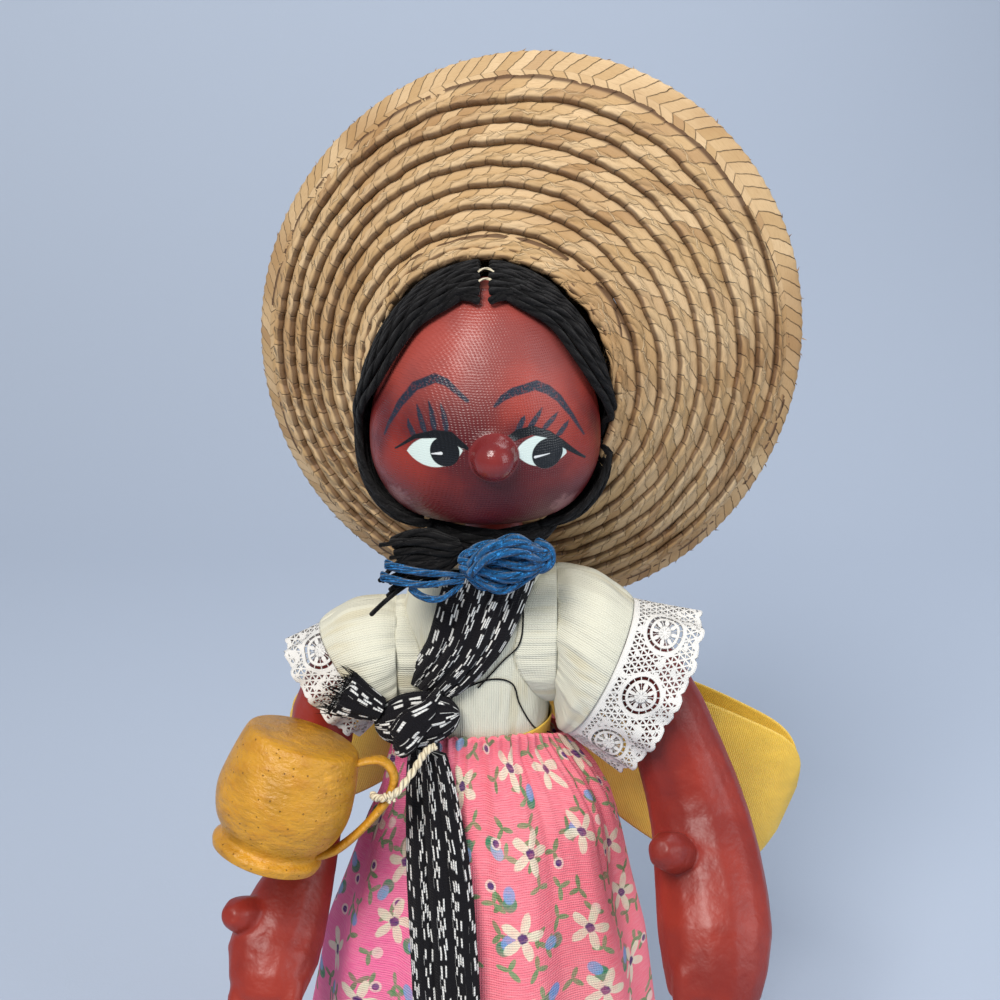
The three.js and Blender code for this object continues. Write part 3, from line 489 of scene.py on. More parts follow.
def stroke(place, points, widths):
    """Distance in mm outside a painted brush stroke through flat points."""
    edges = []
    for (a, b), (wide_a, wide_b) in zip(zip(points, points[1:]), zip(widths, widths[1:])):
        along = (b[0] - a[0], b[1] - a[1], 0.0)
        size = along[0] ** 2 + along[1] ** 2
        offset = vector("SUBTRACT", place, (*a, 0.0))
        dot = vector("DOT_PRODUCT", offset, tuple(k / size for k in along), out=1)
        run = least(most(dot, 0.0), 1.0)
        edges.append(apart(offset, vector("SCALE", along, scale=run)) - (wide_a + run * (wide_b - wide_a)))
    return reduce(least, edges)


def circle_through(a, b, c):
    """The middle and the radius of the circle through three points."""
    ax, ay, bx, by, cx, cy = *a, *b, *c
    d = 2 * (ax * (by - cy) + bx * (cy - ay) + cx * (ay - by))
    squares = [ax * ax + ay * ay, bx * bx + by * by, cx * cx + cy * cy]
    x = (squares[0] * (by - cy) + squares[1] * (cy - ay) + squares[2] * (ay - by)) / d
    y = (squares[0] * (cx - bx) + squares[1] * (ax - cx) + squares[2] * (bx - ax)) / d
    return (x, y), math.dist((x, y), a)


def leaf(place, left, top, right, bottom):
    """Distance in mm outside an almond between two arcs."""
    circles = [circle_through(left, middle, right) for middle in (top, bottom)]
    return reduce(most, [apart(place, (*centre, 0.0)) - radius for centre, radius in circles])


def linen(place, pitch):
    """Height of a plain weave, as threads over and under each other."""
    x, y, z = split(place)
    wobble = noise(place, 0.35) * 0.9
    weft = sine((z + wobble) * (TAU / pitch))
    warp = sine((x + y * 0.8 + wobble) * (TAU / (pitch * 1.35)))
    return weft * 0.6 + warp * 0.4 + weft * warp * 0.5


def painted_cloth(where):
    """Red-brown paint over linen; the face also gets brows, eyes and lashes."""
    look = looks("paint")
    finish = Finish("painted_" + where, Specular_IOR_Level=0.42, Coat_Roughness=0.2)
    place = finish.place()
    broad = noise(place, 0.045, 3.0)
    fine = noise(place, 0.5, 4.0, 0.6)
    tone = smooth(broad, 0.35, 0.65)
    worn = smooth(noise(place, 0.9, 5.0, 0.7), 0.66, 0.78) * 0.25, (0.30, 0.085, 0.06)
    coat = smooth(broad, 0.4, 0.8) * 0.12
    ridges = noise(place, 0.16, 3.0, 0.55)
    rough = 0.27 + fine * 0.2
    if where != "face":
        colour = layered(mix(tone * 0.45 + 0.55, look.deep, look.skin), worn)
        lumps = smooth(cells(place, 0.35, feature="SMOOTH_F1"), 0.1, 0.5)
        height = ridges * 10.0 + lumps + noise(place, 0.42, 3.0, 0.6) * 2.2 + fine * 0.6
        return finish.done(colour, rough + 0.07, height, 0.055, 0.85, Coat_Weight=coat)
    x, y, z = split(place)
    face_x, face_z = x - (HEAD_CENTRE + DOLL_AXIS[0]), z - CHIN_HEIGHT
    flat = joined(face_x, face_z)
    forward = smooth(y, 2.0, -4.0)
    nose = apart(flat, (NOSE_PLACE[0] - HEAD_CENTRE, NOSE_PLACE[1] - CHIN_HEIGHT, 0.0))
    nose = smooth(nose, NOSE_RADIUS + 1.1, NOSE_RADIUS + 0.6) * forward
    front = forward * (1 - nose)
    smudge = vector("LENGTH", joined((face_x - 1.9) / 8.5, (face_z - 12.6) / 5.6), out=1)
    mouth = smooth(smudge + fine * 0.5, 1.4, 0.7) * front
    rubs = [smooth(apart(flat, (*spot, 0.0)) / size + fine * 1.2, 1.5, 0.9) * front for spot, size in RUBS]
    dry = smooth(noise(place, 1.6, 3.0, 0.6), 0.36, 0.5) * 0.35 + 0.65
    inked = BROWS + [(line, LASH_WIDTHS) for line in LASHES]
    ink = reduce(most, [smooth(stroke(flat, *line), 0.2, -0.2) for line in inked])
    white = smooth(reduce(least, [leaf(flat, *eye) for eye in EYES]), 0.15, -0.15) * front
    black = [stroke(flat, *line) for line in LIDS] + [apart(flat, (*spot, 0.0)) - radius for spot, radius in IRISES]
    black = smooth(reduce(least, black), 0.12, -0.12) * front
    glint = smooth(reduce(least, [stroke(flat, *line) for line in GLINTS]), 0.1, -0.1) * front
    # Paler towards the forehead: painted highlight. Darker towards the chin: painted shade. The nose's pinker tint:
    # painted highlight.
    colour = layered(
        mix(tone, look.deep, look.skin), worn, (smooth(face_z, 26.0, 44.0) * 0.5, look.forehead),
        (smooth(face_z, 24.0, 6.0) * 0.9, look.deep), (mouth * 0.6, (0.055, 0.004, 0.008)),
        *((rub * 0.55, (0.36, 0.17, 0.16)) for rub in rubs), (ink * dry * front, INK), (white, EYE_WHITE),
        (black, EYE_BLACK), (glint, GLINT), (nose * 0.35, (0.30, 0.045, 0.045)),
    )
    height = linen(place, 0.62) * 0.85 + ridges * 3.2 + fine * 1.2
    height = (height * (1 - most(white, black) * 0.6) + ink * 0.3) * (1 - nose * 0.75)
    rough = rough - nose * 0.16 - black * 0.1
    return finish.done(colour, rough, height, 0.055, 0.85, Coat_Weight=coat)


# Half the head's width and depth as a share of the most, from the chin to the crown.
HEAD_PROFILE = spline([(0, 0.5), (0.05, 0.8), (0.19, 0.97), (0.35, 1), (0.54, 0.93), (0.73, 0.76), (0.89, 0.5),
                       (0.97, 0.24)], 280)


def head_point(angle, share, offset=0.0):
    """A point over the head: angle from the front towards the doll's left, share from chin to crown."""
    angle, share = np.broadcast_arrays(np.asarray(angle, float), np.asarray(share, float))

    def skin_at(turn, rise):
        width = np.interp(rise, np.r_[HEAD_PROFILE[:, 0], 1.0], np.r_[HEAD_PROFILE[:, 1], 0.02])
        return np.stack([
            HEAD_CENTRE + np.sin(turn) * width * HEAD_SIZE[0] / 2,
            -np.cos(turn) * width * HEAD_SIZE[1] / 2,
            CHIN_HEIGHT + rise * HEAD_SIZE[2],
        ], -1)

    around = skin_at(angle + 0.01, share) - skin_at(angle - 0.01, share)
    up = skin_at(angle, np.minimum(share + 0.01, 1.0)) - skin_at(angle, np.maximum(share - 0.01, 0.0))
    normal = np.cross(around, up)
    normal /= np.maximum(np.linalg.norm(normal, axis=-1), 1e-9)[..., None]
    return skin_at(angle, share) + normal * np.asarray(offset)[..., None]


class DOLL_OT_head(bpy.types.Operator):
    """Shape the painted cloth head with its ball nose"""

    bl_idname = "doll.head"
    bl_label = "Head"

    def execute(self, context):
        top = HEAD_PROFILE[-1, 0]
        share = top * (0.5 - 0.5 * np.cos(np.linspace(0, math.pi, 150)))
        share[0], share[-1] = 0.0, top
        angle = circle(240)
        angle = angle - 0.28 * np.sin(angle) * np.cos(angle / 2) ** 2
        points = head_point(angle, share[:, None])
        nose_y = head_point(0.0, 0.37)[1] - NOSE_RADIUS * 0.25
        face = points[..., 1]
        aside = (points[..., 0] - NOSE_PLACE[0]) ** 2 + (points[..., 2] - NOSE_PLACE[1]) ** 2
        inside = aside < NOSE_RADIUS ** 2
        ball = nose_y - np.sqrt(np.maximum(NOSE_RADIUS ** 2 - aside, 0))
        fillet = 0.7 * np.exp(-((np.sqrt(aside) - NOSE_RADIUS) / 1.1) ** 2)
        near = (face < -8) & (aside < (NOSE_RADIUS + 2.2) ** 2)
        points[..., 1] = np.where(near, np.where(inside, np.minimum(face, ball), face - fillet), face)
        points[..., 1] += 0.25 * swirl(5, 9.0, points[..., 0], points[..., 2]) * (points[..., 1] < 0)
        head = Shape().grid(points, caps=True).solid("painted_head", finish_of(painted_cloth, "face"))
        head = finished(head, ("SMOOTH", dict(factor=0.4, iterations=2)))
        settle(head, "doll_body", "painted_cloth", "head")
        return {"FINISHED"}


# ---- Yarn


def yarn(colour, light):
    """Plied wool: spiral plies along the map's length, with painted shade in the grooves between plies and a fine
    fuzz lightened as painted highlights.
    """
    sheen = 0.04 if colour == "black" else 0.2
    finish = Finish("yarn_" + colour, Specular_IOR_Level=0.12, Sheen_Weight=sheen, Sheen_Roughness=0.5)
    look = getattr(looks("hair"), colour)
    u, v, _ = split(finish.flat())
    ply = abs(sine((u * 3 + v / 6.5) * math.pi))
    hairs = noise(finish.place(), 1.5, 4.0, 0.65)
    strand = noise(joined(u * 30 + v * 1.1, v * 0.4), 1.0)
    # Darker in the grooves between plies: painted shade. The fuzz lightened by light: painted highlights.
    shade = layered(mix(smooth(ply, 0.1, 0.8), toned(look, 0.3), look),
                    (smooth(hairs * strand, 0.26, 0.42) * light, toned(look, 3.2, 0.02)))
    return finish.done(shade, 0.62 + hairs * 0.3, ply * 1.2 + hairs * 0.9 + strand * 0.5, 0.5)


def cotton():
    """Twisted cotton string and thread."""
    finish = Finish("cotton", Specular_IOR_Level=0.3, Sheen_Weight=0.2)
    u, v, _ = split(finish.flat())
    ply = abs(sine((u * 2 + v / 3.2) * math.pi))
    fuzz = noise(finish.place(), 2.2, 4.0, 0.6)
    # Darker in the grooves between plies: painted shade.
    shade = mix(smooth(ply, 0.0, 0.7), (0.36, 0.27, 0.15), (0.78, 0.68, 0.47))
    return finish.done(mix(fuzz * 0.3, shade, (0.9, 0.84, 0.7)), 0.7 + fuzz * 0.2, ply + fuzz * 0.5, 0.35)


GOLDEN_ANGLE = 2.39996


def bundle(rows, count, radius, turns, seed, sides=8, steps=40, stray=0.25):
    """Strands of yarn that fill a swept oval: rows of x, y, z, half width, half depth."""
    rng = np.random.default_rng(seed)
    line = spline(rows, steps)
    middle, size = line[:, :3], line[:, 3:5]
    _, rise, side = way_along(middle)
    share = np.linspace(0, 1, steps + 1)
    room = np.maximum(size - radius, 0.05)
    shape = Shape()
    for k in range(count):
        reach = math.sqrt((k + 0.5) / count)
        angle = GOLDEN_ANGLE * k + share * turns * TAU + rng.uniform(-0.2, 0.2)
        wave = rng.uniform(-1, 1) * stray * np.sin(share * math.pi * rng.uniform(2, 4) + rng.uniform(0, 6))
        x = np.cos(angle) * reach * room[:, 0] + wave
        y = np.sin(angle) * reach * room[:, 1] + wave * 0.6
        thick = np.minimum(radius, size.min(1) * 0.98) * rng.uniform(0.92, 1.05)
        shape.tube(middle + rise * x[:, None] + side * y[:, None], thick, sides, rng.uniform(0, 9))
    return shape


def strands(name, guide, finish, length, thickness, spread, seed):
    """Cut ends of yarn, straw or thread: one fibre at each guide point, along that point's aim."""
    points, aims = guide
    thing = new_piece(name, (np.asarray(points) + DOLL_AXIS) / 1000)
    aim = thing.data.attributes.new("aim", "FLOAT_VECTOR", "POINT")
    aim.data.foreach_set("vector", np.asarray(aims, float).ravel())
    tree = bpy.data.node_groups.new(name, "GeometryNodeTree")
    wanted = {"Length": length / 1000, "Thickness": thickness / 1000, "Spread": spread, "Seed": seed}
    for label in ("Geometry", *wanted):
        kind = {"Geometry": "Geometry", "Seed": "Int"}.get(label, "Float")
        tree.interface.new_socket(label, in_out="INPUT", socket_type="NodeSocket" + kind)
    tree.interface.new_socket("Geometry", in_out="OUTPUT", socket_type="NodeSocketGeometry")

    def node(kind, settings=None, values=None, out=0):
        made = tree.nodes.new(kind)
        for key, value in (settings or {}).items():
            setattr(made, key, value)
        for key, value in (values or {}).items():
            if isinstance(value, bpy.types.NodeSocket):
                tree.links.new(value, made.inputs[key])
            else:
                made.inputs[key].default_value = value
        return made.outputs[out]

    group = tree.nodes.new("NodeGroupInput").outputs
    fibre = node("GeometryNodeMeshCone", {"fill_type": "NGON"}, {
        "Vertices": 5, "Side Segments": 3, "Radius Top": 0.0, "Radius Bottom": group["Thickness"],
        "Depth": group["Length"],
    })
    aim = node("GeometryNodeInputNamedAttribute", {"data_type": "FLOAT_VECTOR"}, {"Name": "aim"}, "Attribute")
    turn = node("FunctionNodeAlignRotationToVector", {"axis": "Z"}, {"Vector": aim})
    luck = node("FunctionNodeRandomValue", {"data_type": "FLOAT_VECTOR"}, {"Seed": group["Seed"]})
    centred = node("ShaderNodeVectorMath", {"operation": "SUBTRACT"}, {0: luck, 1: (0.5, 0.5, 0.5)})
    lean = node("ShaderNodeVectorMath", {"operation": "SCALE"}, {0: centred, 3: group["Spread"]})
    bent = node("FunctionNodeEulerToRotation", None, {0: lean})
    aimed = node("FunctionNodeRotateRotation", {"rotation_space": "LOCAL"}, {0: turn, 1: bent})
    size = node("FunctionNodeRandomValue", {"data_type": "FLOAT"}, {2: 0.6, 3: 1.15, "Seed": group["Seed"]}, 1)
    copies = node("GeometryNodeInstanceOnPoints", None, {
        "Points": group["Geometry"], "Instance": fibre, "Rotation": aimed, "Scale": size,
    })
    real = node("GeometryNodeRealizeInstances", None, {0: copies})
    painted = node("GeometryNodeSetMaterial", None, {"Geometry": real, "Material": finish})
    tree.links.new(painted, tree.nodes.new("NodeGroupOutput").inputs[0])
    modifier = thing.modifiers.new("Strands", "NODES")
    modifier.node_group = tree
    for item in tree.interface.items_tree:
        if item.in_out == "INPUT" and item.name in wanted:
            modifier[item.identifier] = wanted[item.name]
    return finished(thing)


# The turn in degrees of a bank's front edge at shares of the head's height.
HAIRLINE = [(0.93, 22), (0.84, 50), (0.71, 58), (0.58, 67), (0.47, 79), (0.34, 92), (0.18, 84), (0.05, 58),
            (0.012, 46)]
PARTING = (-12, 34)


def parting_run(deep, first):
    """Rows of a strand from the parting to its first row, straight when seen from above."""
    top = np.vstack([(1.0, 0.02), HEAD_PROFILE[HEAD_PROFILE[:, 0] > 0.6][::-1]])
    width = np.interp(-first[0], -top[:, 0], top[:, 1])
    turn = math.radians(first[1])
    begin, end = np.array([0.02, deep * 2 / HEAD_SIZE[1]]), width * np.array([math.sin(turn), -math.cos(turn)])
    rows = []
    for x, y in begin + (end - begin) * np.arange(0, 1, 0.125)[:, None]:
        rows.append((float(np.interp(math.hypot(x, y), top[:, 1], top[:, 0])), math.degrees(math.atan2(x, -y))))
    return rows


class DOLL_OT_hair(bpy.types.Operator):
    """Lay the two banks of black yarn from the parting, and stitch them down"""

    bl_idname = "doll.hair"
    bl_label = "Hair"

    def execute(self, context):
        look = looks("hair")
        for name, side, seed in (("left", 1, 3), ("right", -1, 4)):
            rng = np.random.default_rng(seed)
            shape = Shape()
            for k in range(look.strands):
                u = (k / (look.strands - 1)) ** 0.86
                deep = PARTING[0] + PARTING[1] * u
                rows = [(rise, front + u * (178 - front) + rng.uniform(-0.8, 0.8)) for rise, front in HAIRLINE]
                share = parting_run(deep, rows[0])[0][0]
                if deep > 0:
                    low = {0.93: 78 + deep * 5, 0.84: 90 + deep * 2.5}
                    rows = [(rise, max(turn, low.get(rise, 0))) for rise, turn in rows if rise < share - 0.015]
                line = spline(parting_run(deep, rows[0]) + rows, 96)
                lift = HAIR_CLEARANCE + 1.0 + 0.95 * (k % 2) + 0.2 * np.sin(np.linspace(0, 9, 97) + k)
                path = head_point(np.radians(line[:, 1]), np.clip(line[:, 0], 0.004, 1), lift)
                path[:, 0] = HEAD_CENTRE + side * (path[:, 0] - HEAD_CENTRE + 0.9)
                thick = look.yarn_radius * 1000 * rng.uniform(0.95, 1.08)
                shape.tube(inside_crown(path), thick, 9, rng.uniform(0, 9))
            bank = shape.piece("hair_bank_" + name, finish_of(yarn, "black", 0.5))
            settle(bank, "doll_body", "black_yarn", "hair_" + name)
        stitches = Shape()
        arc = np.linspace(-1, 1, 9)
        for place, rise in ((0.962, 2.35), (0.982, 2.6)):
            x, y, z = head_point(0.0, place, HAIR_CLEARANCE + rise)
            for lean in (-0.35, 0.35):
                stitches.tube(stacked(x + 0.4 + arc * 1.9, y + arc * lean, z + 0.55 - 0.75 * arc ** 2), 0.28, 6)
        settle(stitches.piece("parting_stitches", finish_of(cotton)), "doll_body", "cotton_thread", "part_stitch")
        return {"FINISHED"}


# Rows of x, y, z, half width and half depth for the yarn bundles, and of x, y, z for single yarns.
GATHER = [(17, -6, 244.5, 2, 2), (12, -12.5, 243.2, 3.6, 3.4), (2, -15.5, 242.2, 4.2, 3.6),
          (-9, -14.5, 242.6, 4, 3.6), (-15.5, -8, 244.2, 2.4, 2.2)]
TUFT = [(-8, -21, 243, 2.6, 2.4), (-11.5, -22, 242.2, 6, 3.4), (-17, -22, 241, 8.8, 4), (-23, -22, 239, 9.0, 3.4)]
BLUE_TIE = [(-6.8, -23.4, 238.6, 2.6, 2.2), (-3, -24.4, 239.3, 6.6, 4.0), (3, -25.0, 239.6, 8.4, 4.6),
            (9, -24.4, 240.0, 7.0, 4.2), (14.6, -22.7, 241, 2.8, 2.4)]
TIE_ARCH = [(-5, -26.5, 240.5), (-1.5, -28.4, 245), (3.5, -29, 247.4), (8.8, -28, 246.6), (12.6, -25, 243)]
TIE_WRAP = [(12.2, -21, 244.5), (15.4, -23.4, 243.4), (15.6, -24.4, 240), (13, -23.6, 237.6), (11.8, -21, 238.6)]
TIE_ENDS = [
    [(-6.6, -25.4, 236.6), (-12, -27.2, 238.2), (-19, -28.4, 239.4), (-26.4, -27.4, 241.0)],
    [(-7.0, -25.8, 235.6), (-13, -27.8, 235.8), (-20, -28.6, 236.0), (-27.6, -27.2, 237.6)],
    [(-7.2, -25.6, 234.4), (-12, -27.6, 231.6), (-17, -28.2, 232.0), (-20.4, -27.4, 234.6)],
]


class DOLL_OT_hair_tie(bpy.types.Operator):
    """Gather the yarn under the chin and tie it with blue wool"""

    bl_idname = "doll.hair_tie"
    bl_label = "Hair tie"

    def execute(self, context):
        black, blue = finish_of(yarn, "black", 0.5), finish_of(yarn, "blue", 1.5)
        gather = bundle(GATHER, 8, 1.25, 0.5, 11)
        settle(gather.piece("gathered_yarn", black), "doll_body", "black_yarn", "hair_gather")
        tuft = bundle(TUFT, 26, 1.0, 0.15, 12, 7, 22)
        rng = np.random.default_rng(7)
        t = column(0, 1, 10)
        for _ in range(16):
            start = np.array([-14, -23.2, 240.5]) + rng.normal(0, 1, 3) * (3, 1.0, 3)
            way = np.array([-1, -0.15, rng.uniform(-0.75, 0.35)])
            path = start + way * t * rng.uniform(8, 13) + np.array([0, 0, -2.6]) * t ** 2
            tuft.tube(path, 0.62, 6, rng.uniform(0, 9))
        settle(tuft.piece("cut_tuft", black), "doll_body", "black_yarn", "braid_tuft")
        bow = bundle(BLUE_TIE, 24, 0.98, 0.3, 21, 9, 36, 1.3)
        for lift in (0.0, -2.1):
            bow.tube(spline(TIE_ARCH, 40) + (0, lift * 0.5, lift), 1.15, 9)
        bow.tube(spline(TIE_WRAP, 30), 1.1, 9)
        settle(bow.piece("blue_tie", blue), "doll_body", "blue_yarn", "hair_bow")
        ends = Shape()
        fray = np.linspace(0.35, 1.0, 41) ** 2
        for rows in TIE_ENDS:
            for ply, angle in enumerate((0, 2.1, 4.2)):
                aside = stacked(0, np.cos(angle + fray * 5) * fray, np.sin(angle + fray * 5) * fray)
                ends.tube(spline(rows, 40) + aside * 0.8, 0.62, 7, ply * 2.0)
        settle(ends.piece("blue_tie_ends", blue), "doll_body", "blue_yarn", "hair_bow_ends")
        return {"FINISHED"}


# ---- Straw hat

LEAF_TWIST = 6.6
RIM_SHAPE = [(1, 0.016, 135.0), (3, 0.004, 60.0)]
CROWN_ROWS = [(35, 0), (34, 13.8), (31.5, 28), (26, 38.2), (16, 44), (6, 45.6), (0.6, 46)]
CROWN_BUTTON = [(0.3, 46.9), (2.4, 46.8), (4.4, 46.3), (4.9, 45.6), (4.4, 44.9), (2.4, 44.6), (0.3, 44.5)]
# Places across the braid and the edge band, with how far each stands up.
BRAID_SECTION = [(-0.4, 0.5), (-0.9, -0.1), (-0.6, -0.9), (0.5, -1.35), (1.8, -1.05), (2.8, -0.2), (3.6, 0.12),
                 (4.6, 0.2)]
BAND_SECTION = [(-1.2, 0.9), (0.6, 0.32), (2.2, 0.05), (4.2, 0.28), (6.4, 0.02), (8.0, 0.3), (8.6, 0.9), (8.0, 1.9),
                (4.2, 2.3), (0.4, 2.5), (-1.0, 2.0)]


def plait(kind):
    """Plaited straw: smooth slanted leaves with thin dark seams, and a twisted roll at the inner edge; the dark
    seams, the band's slots and middle fold, and the recesses under each roll are painted shade.
    """
    look = looks("hat")
    band = kind == "band"
    finish = Finish("straw_" + kind, Specular_IOR_Level=0.35)
    u, v, _ = split(finish.flat())
    wide, middle, steep, waver, leaf_wide = (
        (EDGE_BAND, 0.32, 0.85, 1.6, 1000) if band else (BRAID_PITCH, -1.0, 1.15, 4.5, 1250))
    leaf_wide *= look.pick
    wobble = noise(joined(u * 0.1, v * 0.25), 1.0, 3.0) - 0.5
    across = v - wide * middle + wobble * 0.8
    slant = u + abs(across) * steep + wobble * waver
    luck = chance(whole(slant / leaf_wide), sign(across), whole(u / 490))
    seam = smooth(abs(fraction(slant / leaf_wide) - 0.5), 0.44, 0.495)
    grain = noise(joined(slant * 0.25, v * 0.5 + across * 3.0), 1.5, 4.0, 0.6)
    broad = noise(finish.place(), 0.03)
    colour = layered(mix(luck, look.straw, look.light), (smooth(luck, 0.86, 0.9) * 0.7, look.shade),
                     (smooth(grain, 0.45, 0.75) * 0.4, look.shade), (smooth(broad, 0.4, 0.7) * 0.6, look.shade))
    height = luck * 0.5 + grain * 0.3 - seam * 0.9
    # worn only sets how strongly the painted shade of the seams shows along the braid.
    worn = smooth(noise(joined(u * 0.3, v), 1.0), 0.35, 0.6)
    if band:
        # Dark slots between the leaves near the band's outer edge: painted shade.
        colour = mix(seam * smooth(v, wide - 3.6, wide - 1.0) * 0.7, colour, look.gap)
        # Dark seams between the leaves and along the band's middle fold: painted shade.
        dark = most(seam * 0.42, smooth(abs(across), 0.16, 0.05) * 0.2)
    else:
        roll = smooth(v, 2.9, 2.2)
        twist = fraction((u + v * 2.6 + wobble * 4.0) / LEAF_TWIST)
        cord = smooth(abs(twist - 0.5), 0.44, 0.5)
        lap = u / 8.5 + wobble * 0.5
        lip = smooth(abs(v - 0.9 - abs(fraction(lap) - 0.5) * 4.4), 0.34, 0.14) * (chance(whole(lap), 3.0) > 0.4)
        # Painted shade where each ring tucks under the next roll and just below its own roll; the lip is a pale
        # zigzag thread.
        colour = layered(colour, (lip * 0.6, look.light), (smooth(v, wide - 1.3, wide - 0.4) * 0.85, look.gap),
                         (smooth(v, 0.35, 0.05) * 0.75, look.gap))
        height = height + lip * 0.9 + sine(twist * math.pi) * roll * 1.4
        # Dark seams between the leaves and between the roll's twists: painted shade.
        dark = most(seam * (1 - roll), cord * roll) * 0.42
    return finish.done(mix(dark * worn, colour, look.gap), 0.5 + grain * 0.25, height, 0.4)


def stub_straw():
    """Dark cut ends of straw."""
    finish = Finish("straw_stub", Specular_IOR_Level=0.3)
    luck = smooth(noise(finish.place(), 0.35), 0.35, 0.65)
    return finish.done(mix(luck, (0.09, 0.035, 0.012), (0.42, 0.25, 0.11)), 0.75)


def hat_matrix():
    turn = Matrix.Rotation(HAT_TURN, 4, "Z") @ Matrix.Rotation(-math.pi / 2 + HAT_TIP, 4, "X")
    return Matrix.Translation(OPENING_PLACE) @ turn


def on_hat(angle, reach, rise):
    """Points round the hat's axis, in the hat's own frame."""
    return stacked(np.cos(angle) * reach, -np.sin(angle) * reach, rise)


def brim_reach(angle, run):
    """How far out a run of the brim lies, with the oval and the lopsided edge of the real one."""
    share = run / (BRIM_END + EDGE_BAND)
    oval = 0.03 * np.cos(2 * (angle - math.radians(55)))
    swell = 0.008 + sum(size * np.cos(k * (angle - math.radians(at))) for k, size, at in RIM_SHAPE)
    return 1 + share * oval + share ** 2 * swell


def inside_crown(path):
    """Yarns at the back of the head, pressed flat where they would pass through the crown."""
    hat = np.array(hat_matrix())
    local = (path - hat[:3, 3]) @ hat[:3, :3]
    reach = np.hypot(local[:, 0], local[:, 1])
    room = np.interp(local[:, 2], [z for _, z in CROWN_ROWS], [r for r, _ in CROWN_ROWS]) - 3.0
    share = np.where(local[:, 2] > -1.5, np.minimum(room / np.maximum(reach, 0.1), 1), 1)
    local[:, :2] *= share[:, None]
    return local @ hat[:3, :3].T + hat[:3, 3]


def spiral_braid(shape, profile, start, rounds, pitch, wall, steps, closed=False):
    """One long braid sewn round and round a profile of radius and height, each lap over the last."""
    profile = np.array(profile, float)
    run = length_along(profile)
    total = int(rounds * steps)
    count = np.arange(total + 1)
    angle = count / steps * TAU
    along = start + (0.0 if closed else pitch) * angle / TAU
    fade = 1.0 if closed else np.clip(np.minimum(count, total - count) / (steps * 0.12), 0.12, 1)
    pick = np.cumsum(np.r_[0, np.interp((along[1:] + along[:-1]) / 2, run, profile[:, 0]) * np.diff(angle)])
    drift = 0.6 * swirl(61, 6.0, pick, along * 2) + 0.32 * swirl(63, 2.0, pick, along * 2)

    def at(place):
        return np.interp(place, run, profile[:, 0]), np.interp(place, run, profile[:, 1])

    rings, flat = [], []
    over = [(pitch, 0.12), (pitch + 0.7, 0.4), (pitch + 0.3, 0.9), (2.6, 1.25), (0.4, 0.95)]
    for across, lift in BRAID_SECTION + over:
        place = along + (across + drift * (across < 3)) * fade
        (r, z), (r_after, z_after), (r_before, z_before) = at(place), at(place + 0.6), at(place - 0.6)
        tilt = np.arctan2(z_after - z_before, r_after - r_before)
        roll = 0.34 * np.cos((pick + across * 2.6 + 3 * drift) * TAU / LEAF_TWIST) * (abs(across - 0.6) < 1.3)
        leafy = 0.15 * swirl(62, 1.6, pick, np.full_like(pick, across * 1.5)) * (across > 3)
        proud = 0.8 + 0.3 * np.cos(angle - math.radians(120)) if lift < 0 else 1.0
        up = ((lift + roll) * proud + leafy + 0.25 * drift) * wall
        brim = profile[-1, 0] > profile[0, 0]
        reach = (r - up * np.sin(tilt)) * brim_reach(angle, np.maximum(place, 0) if brim else 0)
        rings.append(on_hat(angle, reach, z + up * np.cos(tilt)))
        flat.append(np.stack(np.broadcast_arrays(pick, np.clip(across, 0, pitch)), -1))
    rings, flat = np.stack(rings, 1), np.stack(flat, 1)
    shape.grid(rings, flat=np.concatenate([flat, flat[:, :1]], 1), caps=True)


